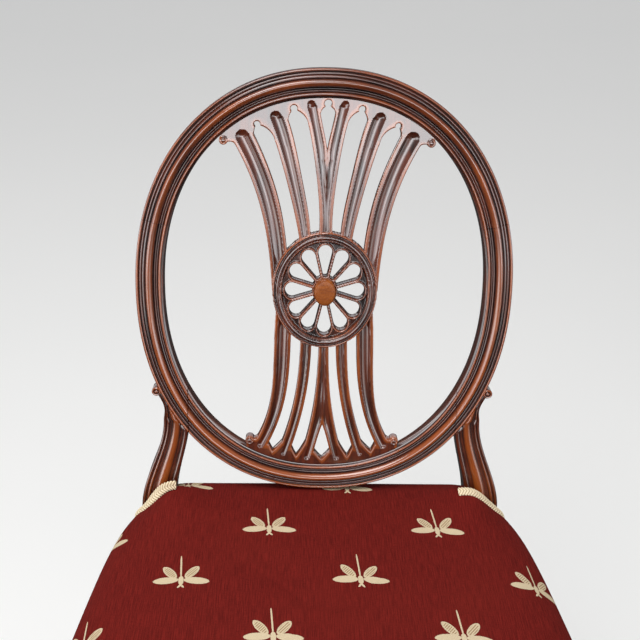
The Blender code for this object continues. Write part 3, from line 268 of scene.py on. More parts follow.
def mahogany(name, worn):
    """Polished dark red wood: stretched grain, worn orange bead tops and darker wood where least worn."""
    g = Graph(name, Coat_Weight=1.0, Coat_Roughness=0.08, Coat_IOR=1.7, Specular_IOR_Level=0.12)
    uv = g.map(GRAIN_MAP)
    grain = g.noise(uv, (7.0, 130.0, 1.0), 4.0, 0.6, 0.4)
    pores = g.noise(uv, (40.0, 900.0, 1.0), 2.0)
    patches = g.noise(uv, 17.0)
    wear = g.add("Attribute", attribute_name=WEAR).outputs["Fac"]
    rubbed = g.math("ADD", wear, g.scaled(patches, 0.9, -0.45))
    rubbed = g.math("ADD", rubbed, g.scaled(grain, 0.5, -0.25))
    wood = g.tint(BROWN_WOOD, RED_WOOD, grain, 0.35, 0.65)
    wood = g.tint(wood, worn, rubbed, 0.42, 1.05)
    # Darker wood where least worn, most in the grooves.
    wood = g.tint(wood, DARK_WOOD, rubbed, 0.22, -0.12)
    wood = g.tint(wood, DARK_WOOD, pores, 0.55, 0.75, 0.35)
    rough = g.scaled(g.step(wear, 0.3, 0.0), 0.14, g.scaled(patches, 0.16, 0.18))
    return g.finish(wood, rough, g.scaled(pores, 0.25, g.scaled(grain, 0.75)), 0.00025, 0.5)


def boss_wood():
    """The turned boss: lighter end grain with fine dark flecks."""
    g = Graph("boss_wood", Coat_Weight=0.1, Coat_Roughness=0.2, Specular_IOR_Level=0.15)
    uv = g.map(GRAIN_MAP)
    rings = g.noise(uv, (90.0, 260.0, 1.0), 4.0, 0.6, 0.6)
    flecks = g.noise(uv, 1500.0, 2.0)
    wood = g.tint(colour(0.20, 0.048, 0.009), colour(0.31, 0.086, 0.015), rings, 0.3, 0.7)
    wood = g.tint(wood, RED_WOOD, flecks, 0.56, 0.72, 0.45)
    return g.finish(wood, g.scaled(rings, 0.15, 0.24), flecks, 0.00015, 0.4)


def beech():
    """Plain inner wood, with its grain along the chair's width."""
    g = Graph("beech_wood")
    place = g.add("TexCoord").outputs["Object"]
    grain = g.noise(place, (9.0, 140.0, 140.0), 4.0, 0.6, 0.5)
    flecks = g.noise(place, (160.0, 900.0, 900.0), 2.0)
    wood = g.mix(grain, colour(0.36, 0.215, 0.115), colour(0.52, 0.345, 0.20))
    wood = g.tint(wood, colour(0.25, 0.13, 0.06), flecks, 0.58, 0.7, 0.5)
    return g.finish(wood, g.scaled(grain, 0.2, 0.45), flecks, 0.0002, 0.5)


def steel():
    """Dull zinc-grey fasteners with fine scuffs."""
    g = Graph("scuffed_steel", Metallic=1.0)
    scuffs = g.noise(g.add("TexCoord").outputs["Object"], 900.0, 4.0, 0.7)
    metal = g.mix(scuffs, colour(0.27, 0.265, 0.26), colour(0.50, 0.49, 0.47))
    return g.finish(metal, g.scaled(scuffs, 0.3, 0.25), scuffs, 0.0001, 0.5)


# The woven figure: an insect made of lens shapes as (x, y, turn in degrees, half length, half width,
# fullness), in millimetres from where its wings meet
FIGURE_REPEAT = 193.0
FIGURE_PITCH = 79.6
FIGURE_START = (39.8, -0.2)
FIGURE_SKEW = 0.052
UPPER_WINGS = (
    (-12.6, 9.2, -51.0, 11.8, 5.2, 2.2),
    (11.5, 8.8, 50.0, 11.4, 5.2, 2.2),
)
CREAM_SHAPES = (
    (-16.4, -2.6, 3.0, 14.4, 5.1, 2.2),
    (16.6, -4.0, -8.0, 14.6, 5.1, 2.2),
    (-0.7, 18.0, 92.0, 17.0, 0.95, 7.0),
    (0.0, -3.0, 90.0, 6.4, 2.9, 4.0),
    (-1.0, -10.6, 52.0, 4.2, 1.25, 3.0),
    (1.0, -10.6, -52.0, 4.2, 1.25, 3.0),
)
FIGURE_EDGE = 0.16
LENS_ROUNDNESS = 1.7
WING_RIM = (0.35, 0.55)
WING_RIBS = 2600.0
WING_RIB_TURN = 0.7


def lens(g, vector, x, y, turn, length, width, fullness):
    """How far inside a lens shape a place is: above nothing inside."""
    local = g.place(vector, (length, width, 1.0), (x, y, 0.0), math.radians(turn), "TEXTURE")
    along, across = (g.math("ABSOLUTE", part) for part in g.parts(local)[:2])
    reach = g.math("POWER", along, fullness)
    spread = g.math("POWER", across, LENS_ROUNDNESS)
    return g.math("SUBTRACT", g.math("SUBTRACT", 1.0, spread), reach)


def shapes(g, vector, rows, frayed):
    """How far inside the nearest of several lens shapes a place is, with a frayed edge."""
    inside, *others = [lens(g, vector, *row) for row in rows]
    for other in others:
        inside = g.math("MAXIMUM", inside, other)
    return g.math("ADD", inside, frayed)


def figure_cell(g, uv):
    """The cloth's map in millimetres, wrapped into one cell of the half-drop repeat."""
    across, up, _ = g.parts(g.place(uv, (1 / MM, 1 / MM, 1.0)))
    across = g.scaled(up, FIGURE_SKEW, across)
    row = g.scaled(up, 1 / FIGURE_PITCH, 0.5 - FIGURE_START[1] / FIGURE_PITCH)
    drop = g.scaled(g.math("FLOORED_MODULO", g.math("FLOOR", row), 2.0), 0.5)
    column = g.scaled(across, 1 / FIGURE_REPEAT, 0.5 - FIGURE_START[0] / FIGURE_REPEAT)
    column = g.math("ADD", column, drop)
    across = g.scaled(g.math("FRACT", column), FIGURE_REPEAT, -FIGURE_REPEAT / 2)
    up = g.scaled(g.math("FRACT", row), FIGURE_PITCH, -FIGURE_PITCH / 2)
    return g.add("CombineXYZ", {0: across, 1: up}).outputs[0]


def cover_ground(g, uv, slubs, threads):
    """The cover's burgundy: slub streaks, dark picks, bright threads and broad shading."""
    picks = g.noise(uv, (130.0, 1100.0, 1.0), 2.0)
    cloth = g.tint(colour(0.097, 0.0073, 0.0055), colour(0.182, 0.0137, 0.0102), slubs, 0.32, 0.72)
    cloth = g.tint(cloth, colour(0.070, 0.0055, 0.0044), picks, 0.45, 0.8, 0.45)
    cloth = g.tint(cloth, colour(0.25, 0.032, 0.022), threads, 0.58, 0.75, 0.35)
    return g.tint(cloth, colour(0.17, 0.016, 0.010), g.noise(uv, 9.0), 0.4, 0.75, 0.22)


def cover_cloth():
    """Burgundy weave with small cream insects."""
    g = Graph("cover_weave", Specular_IOR_Level=0.06)
    uv = g.map(CLOTH_MAP)
    slubs = g.noise(uv, (1100.0, 45.0, 1.0), 3.0, 0.65)
    threads = g.noise(uv, (1500.0, 1200.0, 1.0), 1.0)
    cell = figure_cell(g, uv)
    frayed = g.scaled(threads, 0.3, -0.15)
    wing_reach = shapes(g, cell, UPPER_WINGS, frayed)
    wings = g.step(wing_reach, 0.0, FIGURE_EDGE)
    cream = g.step(shapes(g, cell, CREAM_SHAPES, frayed), 0.0, FIGURE_EDGE)
    turned = g.place(uv, (WING_RIBS, WING_RIBS, 1.0), turn=WING_RIB_TURN)
    ribs = g.math("SINE", g.parts(turned)[0])
    ribs = g.math("ADD", ribs, g.scaled(threads, 3.0, -1.5))
    pale = g.mix(threads, colour(0.50, 0.39, 0.24), colour(0.72, 0.60, 0.41))
    ribbed = g.tint(pale, colour(0.30, 0.19, 0.10), ribs, -0.2, 0.7)
    cloth = cover_ground(g, uv, slubs, threads)
    cloth = g.mix(wings, cloth, g.tint(pale, ribbed, wing_reach, *WING_RIM))
    cloth = g.mix(cream, cloth, pale)
    weave = g.scaled(slubs, 0.6, g.scaled(threads, 0.5))
    weave = g.scaled(g.math("MAXIMUM", cream, wings), 0.5, weave)
    return g.finish(cloth, g.scaled(threads, 0.15, 0.78), weave, 0.0006, 0.7)


def woven(name, low, high, pitch, rough):
    """A plain open weave in two colours, for straps and linings."""
    g = Graph(name, Specular_IOR_Level=0.25, Sheen_Weight=0.1)
    uv = g.map(CLOTH_MAP)
    scale = 2 * math.pi / pitch
    warp, weft = (g.math("SINE", part) for part in g.parts(g.place(uv, (scale, scale, 1.0)))[:2])
    over = g.math("MULTIPLY", warp, weft)
    fuzz = g.noise(uv, 1.3 / pitch, 3.0, 0.6)
    threads = g.scaled(fuzz, 0.5, g.scaled(over, 0.25, 0.25))
    cloth = g.tint(low, high, threads, 0.2, 0.8)
    return g.finish(cloth, g.scaled(fuzz, 0.15, rough), g.scaled(fuzz, 0.5, threads), pitch * 0.3, 0.6)


BRAID_PITCH = 0.0034
BRAID_SLANT = 1.0


def braid_cloth():
    """Cream cord in a herringbone, with painted shade in the hollows between its turns."""
    g = Graph("cream_braid", Specular_IOR_Level=0.1)
    uv = g.map(CLOTH_MAP)
    along, across, _ = g.parts(uv)
    slant = g.scaled(g.math("ABSOLUTE", across), BRAID_SLANT / (GIMP_WIDTH / 2))
    turns = g.scaled(along, 1 / BRAID_PITCH, slant)
    cord = g.math("ABSOLUTE", g.math("SINE", g.scaled(turns, math.pi)))
    fuzz = g.noise(uv, 1400.0, 3.0, 0.6)
    # Painted shade: darker in the hollows between the cord's turns.
    shade = g.scaled(fuzz, 0.5, g.math("SUBTRACT", cord, 0.25))
    cloth = g.tint(colour(0.42, 0.30, 0.165), colour(0.86, 0.73, 0.51), shade, 0.1, 0.8)
    return g.finish(cloth, g.scaled(fuzz, 0.15, 0.75), shade, 0.0006, 0.6)


FLOOR_LIFT = 0.36
GLOW_RUN = (2.0, 4.4)
LEFT_GLOW = 2.8
RIGHT_GLOW = 1.1


def floor_finish():
    """Pale, even studio floor, lifted a little for the camera.

    Reflections see it dark near the chair and bright far out at both sides.
    """
    g = Graph("studio_floor", Specular_IOR_Level=0.1, Emission_Color=colour(1.0, 0.995, 0.98))
    place = g.add("TexCoord").outputs["Object"]
    path = g.add("LightPath").outputs
    shade = g.noise(place, 1.2, 2.0)
    tone = g.mix(shade, colour(0.58, 0.58, 0.57), colour(0.62, 0.615, 0.60))
    tone = g.mix(path["Is Glossy Ray"], tone, colour(0.05, 0.05, 0.05))
    right = g.parts(place)[0]
    glow = g.scaled(g.step(g.scaled(right, -1.0), *GLOW_RUN), LEFT_GLOW)
    glow = g.scaled(g.step(right, *GLOW_RUN), RIGHT_GLOW, glow)
    glow = g.math("MULTIPLY", path["Is Glossy Ray"], glow)
    lift = g.scaled(path["Is Camera Ray"], FLOOR_LIFT, glow)
    return g.shade(Base_Color=tone, Roughness=g.scaled(shade, 0.1, 0.75), Emission_Strength=lift)


MAHOGANY = mahogany("polished_mahogany", colour(0.31, 0.072, 0.014))
CARVED_MAHOGANY = mahogany("carved_mahogany", colour(0.32, 0.078, 0.017))
BOSS_WOOD = boss_wood()
BEECH = beech()
STEEL = steel()
CLOTH = cover_cloth()
BRAID = braid_cloth()
JUTE = woven("jute_strap", colour(0.22, 0.14, 0.07), colour(0.52, 0.38, 0.21), 0.0022, 0.8)
HESSIAN = woven("hessian_cloth", colour(0.15, 0.095, 0.05), colour(0.45, 0.32, 0.18), 0.0018, 0.85)
CAMBRIC = woven("black_cambric", colour(0.006, 0.006, 0.007), colour(0.030, 0.030, 0.032), 0.0009, 0.8)


# Mesh helpers

SHARP_ANGLE = math.radians(40)
UPWARDS = np.array((0.0, 0.0, 1.0))
BEAD_WEAR_POWER = 0.6


class Skin:
    """Points with their faces, map places and wear, which pieces are joined from."""

    def __init__(self, points, faces, places, wear=0.0):
        self.points = np.asarray(points, float).reshape(-1, 3)
        self.faces = faces
        self.places = np.asarray(places, float).reshape(-1, 2)
        self.wear = np.broadcast_to(np.asarray(wear, float), len(self.points))


def run_length(points, axis):
    """Distance travelled along one axis of a grid of points, starting from nothing."""
    steps = np.linalg.norm(np.diff(points, axis=axis), axis=-1)
    total = np.cumsum(steps, axis=axis)
    start = np.zeros_like(np.take(total, [0], axis=axis))
    return np.concatenate((start, total), axis=axis)


def grid_faces(stations, around, closed=False):
    """Quads of a grid of stations, closed round its section and, if asked, end to end."""
    rows = np.arange(stations if closed else stations - 1)
    row, column = (a.ravel() for a in np.meshgrid(rows, np.arange(around), indexing="ij"))
    next_row, next_column = (row + 1) % stations, (column + 1) % around
    corners = (row * around + column, row * around + next_column,
               next_row * around + next_column, next_row * around + column)
    return np.stack(corners, axis=-1).tolist()


def sweep(rings, wear=0.0):
    """A body through rings of points, capped at its ends."""
    rings = np.asarray(rings, float)
    stations, around = rings.shape[:2]
    faces = grid_faces(stations, around)
    faces.append(list(range(around)))
    faces.append(list(range((stations - 1) * around, stations * around)))
    places = np.stack((run_length(rings, 0), run_length(rings, 1)), axis=-1)
    return Skin(rings, faces, places, np.broadcast_to(wear, rings.shape[:2]).ravel())


def add_object(name, data):
    thing = bpy.data.objects.new(name, data)
    bpy.context.scene.collection.objects.link(thing)
    return thing


def corner_points(mesh):
    """The number of the point at each corner of the mesh's faces."""
    numbers = np.zeros(len(mesh.loops), np.int32)
    mesh.loops.foreach_get("vertex_index", numbers)
    return numbers


def joined_mesh(name, skins, map_name):
    """One mesh from skins, with their map and wear."""
    points, places, wear = (
        np.concatenate([getattr(skin, part) for skin in skins]) for part in ("points", "places", "wear")
    )
    faces, start = [], 0
    for skin in skins:
        faces += [[start + k for k in face] for face in skin.faces]
        start += len(skin.points)
    mesh = bpy.data.meshes.new(name)
    mesh.from_pydata(points.tolist(), [], faces)
    layer = mesh.uv_layers.new(name=map_name)
    layer.uv.foreach_set("vector", places[corner_points(mesh)].astype(np.float32).ravel())
    worn = mesh.attributes.new(WEAR, "FLOAT", "POINT")
    worn.data.foreach_set("value", wear.astype(np.float32))
    return mesh


def make_piece(name, skins, material, replaced, map_name=GRAIN_MAP):
    """One object from joined skins. It rides on the frame and stands for its nodes."""
    mesh = joined_mesh(name, skins, map_name)
    bm = bmesh.new()
    bm.from_mesh(mesh)
    bmesh.ops.recalc_face_normals(bm, faces=bm.faces)
    bm.to_mesh(mesh)
    bm.free()
    mesh.shade_smooth()
    mesh.set_sharp_from_angle(angle=SHARP_ANGLE)
    mesh.materials.append(material)
    piece = add_object(name, mesh)
    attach(piece, "root")
    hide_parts(*replaced)
    return piece


def side_name(base, side):
    return f"{base}_{'left' if side < 0 else 'right'}"


def smooth_step(t):
    t = np.clip(t, 0.0, 1.0)
    return t * t * (3 - 2 * t)


def signed_power(value, power):
    return np.sign(value) * np.abs(value) ** power


def full_turn(count):
    return np.linspace(0, 2 * math.pi, count, endpoint=False)


def bead(start, end, rise, wear, steps, lean=1.0):
    """Points over a bead between two feet, as (place, level, wear). A lean above 1 moves its crown."""
    turn = np.linspace(0, math.pi, steps + 1)
    share = ((1 - np.cos(turn)) / 2) ** lean
    place = start[0] + (end[0] - start[0]) * share
    level = start[1] + (end[1] - start[1]) * share + rise * np.sin(turn)
    return list(zip(place, level, wear * np.sin(turn) ** BEAD_WEAR_POWER))


# Oval geometry

# The oval's front in millimetres: beads as (first foot, last foot, rise, wear, steps, lean), each with the
# bottom of the groove after it. A foot and a groove are (inset, w)
MOULD_BEADS = (
    ((0.0, -7.6), (3.4, -7.2), 2.8, 0.95, 8, 1.0, (3.9, -7.6)),
    ((4.4, -6.9), (6.8, -6.4), 1.0, 0.35, 6, 1.0, (7.1, -6.8)),
    ((7.5, -6.1), (10.5, -5.3), 1.3, 0.12, 8, 1.0, (11.1, -6.0)),
    ((11.6, -5.4), (20.0, -6.0), 5.8, 0.9, 18, 1.2, (20.4, -6.9)),
    ((20.8, -6.4), (22.6, -6.7), 0.9, 0.12, 8, 1.0, (22.9, -7.2)),
    ((23.2, -6.8), (24.8, -6.9), 0.8, 0.35, 6, 1.0, (25.1, -7.3)),
    ((25.5, -6.8), (29.3, -5.6), 2.5, 0.9, 8, 1.0, (29.7, -5.9)),
)
MOULD_LIP = (31.2, -6.2, 0.15)
MOULD_SIDE = -9.0
CORNER_CUT = 0.3
JOINT_GAP_ANGLE = FIT_GAP / 2 / OVAL_HALF_WIDTH
STATION_ANGLE = math.radians(1.2)
LOWER_WEAR = 0.25
FACE_DEPTH = 0.0085
OPEN_JOINT = {-1: 0.0009, 1: 0.0002}


def back_points(u, v, w):
    """Places in the tilted back as points of the frame."""
    u, v, w = np.broadcast_arrays(u, v, w)
    y = BACK_Y - w * TILT_COS + v * TILT_SIN
    z = BACK_Z + w * TILT_SIN + v * TILT_COS
    return np.stack((u, y, z), axis=-1)


def turned_skin(centre, radii, levels, around, side=1):
    """An oval turning on the back, through levels (share of its radii, w, wear)."""
    turn = full_turn(around)
    size, w, wear = np.array(levels).T[..., None]
    u = centre[0] + radii[0] * size * np.cos(turn)
    v = centre[1] + radii[1] * size * np.sin(turn)
    return sweep(back_points(side * u, v, w), wear)


def oval_point(angle, inset):
    """Points of the oval, moved inwards along its normal."""
    c, s = np.cos(angle), np.sin(angle)
    reach = (np.abs(c) ** OVAL_POWER + np.abs(s) ** OVAL_POWER) ** (-1 / OVAL_POWER)
    c, s = c * reach, s * reach
    normal_u = signed_power(c, OVAL_POWER - 1) / OVAL_HALF_WIDTH
    normal_v = signed_power(s, OVAL_POWER - 1) / OVAL_HALF_HEIGHT
    length = np.hypot(normal_u, normal_v)
    return OVAL_HALF_WIDTH * c - inset * normal_u / length, OVAL_HALF_HEIGHT * s - inset * normal_v / length


def angle_at_u(u, inset):
    """The angles in the upper right quarter where the inset ovals have this u, found by halving."""
    low = np.zeros_like(inset)
    high = np.full_like(inset, math.pi / 2)
    for _ in range(50):
        middle = (low + high) / 2
        outside = oval_point(middle, inset)[0] > u
        low, high = np.where(outside, middle, low), np.where(outside, high, middle)
    return (low + high) / 2


def oval_u(v, inset=0.0):
    """Half the width of the oval at a height."""
    share = np.minimum(np.abs(v) / OVAL_HALF_HEIGHT, 1.0)
    return OVAL_HALF_WIDTH * (1 - share**OVAL_POWER) ** (1 / OVAL_POWER) - inset


def mould_profile():
    """The oval's section in millimetres as (inset, w, wear), from its outer side over the front."""
    width, depth, ease = MOULD_WIDTH / MM, MOULD_DEPTH / MM, BACK_EASE / MM
    corner = CORNER_CUT * ease
    points = [(ease, -depth, 0.3), (corner, corner - depth, 0.4)]
    points += [(0.0, ease - depth, 0.5), (0.0, MOULD_SIDE, 0.4)]
    end = [(width - inset, w, wear) for inset, w, wear in reversed(points)]
    for *row, groove in MOULD_BEADS:
        points += bead(*row)
        points.append((*groove, 0.0))
    return np.array(points + [MOULD_LIP] + end)


PROFILE_INSET, PROFILE_W, PROFILE_WEAR = mould_profile().T
PROFILE_INSET = PROFILE_INSET * MM
PROFILE_W = PROFILE_W * MM


def oval_skin(first, last, side=1, crack=0.0):
    """The moulding from one angle to another. Either may differ from point to point of its section.

    A crack is how far its face falls away beside an open joint at its first end.
    That end has no wear, so it shows dark: painted shade in the joint.
    """
    first, last = np.broadcast_arrays(first, last, PROFILE_INSET)[:2]
    turn = abs(last - first).max()
    share = np.linspace(0, 1, int(turn / STATION_ANGLE) + 2)
    level = np.tile(PROFILE_W, (len(share), 1))
    if crack:
        share = np.insert(share, 1, crack / OVAL_HALF_WIDTH / turn)
        level = np.vstack((np.where(PROFILE_W > -FACE_DEPTH, PROFILE_W - crack, PROFILE_W), level))
    angle = first + (last - first) * share[:, None]
    u, v = oval_point(angle, PROFILE_INSET)
    wear = PROFILE_WEAR * (1 + LOWER_WEAR * np.clip(-v / OVAL_HALF_HEIGHT, -1.0, 1.0))
    # No wear at the cracked end: painted shade along the open joint.
    if crack:
        wear[0] = 0.0
    return sweep(back_points(side * u, v, level), wear)


def make_crest_rail():
    first = CREST_JOINT_ANGLE + JOINT_GAP_ANGLE
    make_piece("moulded_crest", [oval_skin(first, math.pi - first)], MAHOGANY, ["crest_rail"])


def make_lower_rail():
    """The lower arc, sawn off upright at both ends."""
    first = -angle_at_u(LOWER_JOINT_HALF - FIT_GAP / 2, PROFILE_INSET)
    skin = oval_skin(first, -math.pi - first)
    make_piece("moulded_lower_rail", [skin], MAHOGANY, ["lower_back_rail"])


# Rear legs with their stiles

OVAL_SINK = 0.009
OVAL_SINK_RUN = 0.0015
OVAL_SINK_START = STILE_NECK - 0.03
LOWER_LEG_WEAR = 0.45
LOWER_LEG_STATIONS = 26
STILE_STATIONS = 54


def stile_profile():
    """The stile's front as (share of its width, share of its relief below the crown, wear)."""
    points = bead((0.0, 1.0), (0.11, 1.0), -0.65, 0.55, 6)
    points += bead((0.13, 1.0), (0.25, 1.0), -0.70, 0.65, 6)
    points += [(0.28, 0.95, 0.1), (0.32, 0.98, 0.2)]
    points += bead((0.36, 0.95), (0.70, 0.95), -0.95, 1.0, 10)
    points += [(0.74, 0.98, 0.2), (0.79, 0.95, 0.1)]
    points += bead((0.83, 1.0), (1.0, 1.0), -0.65, 0.55, 6)
    return np.array(points)


STILE = stile_profile()


def stile_sizes(v):
    """Outer edge, inner edge and depth of the stile at a height in the back."""
    neck_inner = LOWER_JOINT_HALF + FIT_GAP
    neck_outer = neck_inner + STILE_NECK_WIDTH
    flare = smooth_step((v - STILE_NECK) / (STILE_FOOT - STILE_NECK))
    outer = neck_outer + (REAR_HALF_WIDTH - neck_outer) * flare
    inner = neck_inner + (REAR_LEG_INNER - neck_inner) * flare
    depth = STILE_TOP_DEPTH + (REAR_LEG_DEPTH - STILE_TOP_DEPTH) * flare
    if v > STILE_NECK:
        inner = max(inner, oval_u(v, STILE_LAP))
        outer += smooth_step((v - STILE_NECK) / (EAR_V - STILE_NECK)) * (oval_u(v) + EAR_REACH - outer)
    return outer, inner, depth


def leg_outline(outer, inner, depth, relief):
    """A section as (x, distance behind the front, wear), front first, then round the back."""
    ease = min(BACK_EASE, depth / 4)
    corner = CORNER_CUT * ease
    x = outer + (inner - outer) * STILE[:, 0]
    front = np.stack((x, relief * STILE[:, 1], STILE[:, 2] * min(1.0, relief / STILE_RELIEF)), axis=-1)
    back = [
        (inner, CORNER_CUT * depth, 0.4), (inner, depth - ease, 0.4), (inner + corner, depth - corner, 0.6),
        (inner + ease, depth, 0.4), (outer - ease, depth, 0.4), (outer - corner, depth - corner, 0.6),
        (outer, depth - ease, 0.4), (outer, CORNER_CUT * depth, 0.4),
    ]
    return np.concatenate((front, np.array(back)))


def lower_leg_rings(side):
    """From the floor to the top of the seat rails: raked back below the seat."""
    rings, wear = [], []
    for z in np.linspace(0, RAIL_TOP, LOWER_LEG_STATIONS):
        fall = max(0.0, 1 - z / RAIL_BOTTOM)
        width = REAR_LEG_WIDTH + (REAR_FOOT_SIZE - REAR_LEG_WIDTH) * fall
        depth = REAR_LEG_DEPTH + (REAR_FOOT_SIZE - REAR_LEG_DEPTH) * fall
        front = REAR_LEG_Y + REAR_RAKE * fall**REAR_RAKE_POWER
        outline = leg_outline(REAR_HALF_WIDTH, REAR_HALF_WIDTH - width, depth, 0.0)
        rings.append(np.column_stack((side * outline[:, 0], front + outline[:, 1], np.full(len(outline), z))))
        wear.append(np.maximum(outline[:, 2], LOWER_LEG_WEAR))
    return rings, wear


def stile_rings(side):
    """From the seat to the ear. Where the stile laps on to the oval it sinks below the moulding."""
    rings, wear = [], []
    for v in np.linspace(STILE_FOOT, EAR_V, STILE_STATIONS):
        x, behind, worn = leg_outline(*stile_sizes(v), STILE_RELIEF).T
        under = smooth_step((oval_u(v) - x) / OVAL_SINK_RUN) if v > OVAL_SINK_START else 0.0
        w = -STILE_DROP - behind
        w = np.where(behind < STILE_RELIEF * 1.01, w - (w + OVAL_SINK) * under, w)
        rings.append(back_points(side * x, v, w))
        wear.append(worn)
    return rings, wear


def ear_skin(side):
    """The scrolled ear: a small button with a sunk eye."""
    back = -STILE_DROP - STILE_TOP_DEPTH + BACK_EASE
    face = -STILE_DROP - STILE_RELIEF / 2
    levels = (
        (0.75, back, 0.3), (1.0, back + 0.001, 0.4), (1.0, face - 0.0014, 0.6), (0.93, face - 0.0005, 0.9),
        (0.78, face, 1.0), (0.62, face - 0.0002, 0.7), (0.5, face - 0.0014, 0.0), (0.38, face - 0.0004, 0.6),
        (0.12, face + 0.0004, 0.9),
    )
    return turned_skin((oval_u(EAR_V) + EAR_REACH, EAR_V), (EAR_RADIUS, EAR_RADIUS), levels, 24, side)


def make_rear_leg(side):
    """One piece of wood: raked leg, stile, ear and the side of the oval."""
    lower, lower_wear = lower_leg_rings(side)
    upper, upper_wear = stile_rings(side)
    leg = sweep(lower + upper, np.array(lower_wear + upper_wear))
    first = -angle_at_u(LOWER_JOINT_HALF + FIT_GAP / 2, PROFILE_INSET)
    oval = oval_skin(first, CREST_JOINT_ANGLE - JOINT_GAP_ANGLE, side, OPEN_JOINT[side])
    name = side_name("leg_and_stile", side)
    make_piece(name, [leg, oval, ear_skin(side)], MAHOGANY, [side_name("rear_leg", side)])


# Carved splat, worked out in millimetres as a relief over its outline

CELL = 0.85
SPLAT_REACH = (126.0, 218.0)
FACE = -SPLAT_DROP / MM
CURVE_DEGREE = 4
FILLET = 4.0
FLUTE_DEPTH = 3.6
FLUTE_SHARE = 0.62
FLUTE_ROUNDNESS = 0.8
FLUTE_LEAST = 1.0
TIP_TAPER = 0.2
TIP_SPREAD = 0.03
EDGE_ROUND = 0.8
CORNER_BLEND = 3.0
NECK_REACH = 4.0
NECK_DROP = 1.5
SCROLL_DOME = 1.6
EYE_DEPTH = 1.1
EYE_PLACE = 0.55
EYE_WIDTH = 0.13
APEX_SLOPE = 0.3
RIDGE = 1.6
RIDGE_FADE = (88.0, 140.0)
FORK_FILLET = 2.6
FORK_BLEND = 2.5
FAR_OUTSIDE = -50.0


def curve_through(stations):
    """A smooth curve near stations (v, value)."""
    v, value = zip(*stations)
    return np.polynomial.Polynomial.fit(v, value, min(CURVE_DEGREE, len(v) - 1))


def soft_max(first, second, blend):
    """The larger of two distances, with a round fillet where they meet."""
    share = np.clip(0.5 + (first - second) / (2 * blend), 0.0, 1.0)
    return second + (first - second) * share + blend * share * (1 - share)


def hollow(inside, half):
    """Depth of a round flute from the distance inside its edge."""
    share = np.clip(inside / half, 0.0, 1.0)
    return np.minimum(FLUTE_DEPTH, FLUTE_SHARE * half) * (1 - (1 - share) ** 2) ** FLUTE_ROUNDNESS


class Bar:
    """A fan bar: its middle line and half width along v, and the round end of its flute."""

    def __init__(self, stations, tip, tip_half):
        self.centre = curve_through([(v, c) for v, c, _ in stations])
        self.half = curve_through([(v, h) for v, _, h in stations])
        self.set_tip(tip, tip_half, self.centre.deriv()(tip[1]))

    def set_tip(self, tip, tip_half, slope):
        self.lean = np.array((slope, 1.0)) / math.hypot(slope, 1.0)
        self.tip = np.array(tip) - self.lean * tip_half
        self.tip_half = tip_half

    def square(self, v):
        """How much narrower the bar is than its cut along u."""
        return 1 / np.hypot(1.0, self.centre.deriv()(v))

    def inside(self, u, v):
        return (self.half(v) - np.abs(u - self.centre(v))) * self.square(v)

    def rounded(self, inside, half, u, v):
        """A flute's depth, narrowed towards its tip and closed by a round end."""
        across, along = u - self.tip[0], v - self.tip[1]
        beyond = across * self.lean[0] + along * self.lean[1]
        axis = np.abs(across * self.lean[1] - along * self.lean[0])
        before = np.maximum(-beyond, 0.0)
        allowed = self.tip_half + TIP_TAPER * before + TIP_SPREAD * before**2
        reach = np.where(beyond > 0, np.hypot(across, along), axis)
        return hollow(np.minimum(inside, allowed - reach), np.minimum(half, allowed))

    def flute(self, u, v):
        half = np.maximum(self.half(v) * self.square(v) - FILLET, FLUTE_LEAST)
        return self.rounded(self.inside(u, v) - FILLET, half, u, v)


class Fork(Bar):
    """The middle pair of bars: one bar near the wheel, forked beyond its apex."""

    def __init__(self, outer_edge, inner_edge, tip, tip_half):
        self.outer_edge = curve_through(outer_edge)
        self.apex = inner_edge[0][0]
        self.beyond_apex = curve_through(inner_edge)
        self.set_tip(tip, tip_half, self.outer_edge.deriv()(tip[1]))

    def inner_edge(self, v):
        return np.where(v > self.apex, self.beyond_apex(v), (v - self.apex) * APEX_SLOPE)

    def centre(self, v):
        return (self.outer_edge(v) + self.inner_edge(v)) / 2

    def inside(self, u, v):
        return np.minimum(self.outer_edge(v) - u, u - self.inner_edge(v)) * self.lean[1]

    def flute(self, u, v):
        parted = smooth_step((v - RIDGE_FADE[0]) / (RIDGE_FADE[1] - RIDGE_FADE[0]))
        low = soft_max(RIDGE * parted, self.inner_edge(v) + FORK_FILLET, FORK_BLEND)
        high = self.outer_edge(v) - FILLET
        half = np.maximum((high - low) / 2, FLUTE_LEAST)
        pair = self.rounded(half - np.abs(u - (low + high) / 2), half, u, v)
        single = hollow(high - u, np.maximum(high, FLUTE_LEAST))
        return parted * pair + (1 - parted) * single


ARCH_POWER = 1.8
GAP_SLOPE = 0.6


class Gap:
    """The end of a gap between two bars: a leaning arch with a keyhole, or a pointed cusp.

    Its peak and, to the left and right of it, how far its edge reaches sideways and falls.
    """

    def __init__(self, peak, left, right, power, keyhole=None):
        self.peak = peak
        self.left = left
        self.right = right
        self.power = power
        self.keyhole = keyhole

    def solid(self, u, v):
        """Distance into the web beyond the gap's end."""
        across = u - self.peak[0]
        reach, height = (np.where(across < 0, *sides) for sides in zip(self.left, self.right))
        share = np.minimum(np.abs(across) / reach, 1.0)
        if not self.keyhole:
            return (v - self.peak[1] + height * share**self.power) * GAP_SLOPE
        fall = 1 - (1 - share**self.power) ** (1 / self.power)
        arch = (v - self.peak[1] + height * fall) * GAP_SLOPE
        hole_u, hole_v, radius = self.keyhole
        return np.minimum(arch, np.hypot(u - hole_u, v - hole_v) - radius)


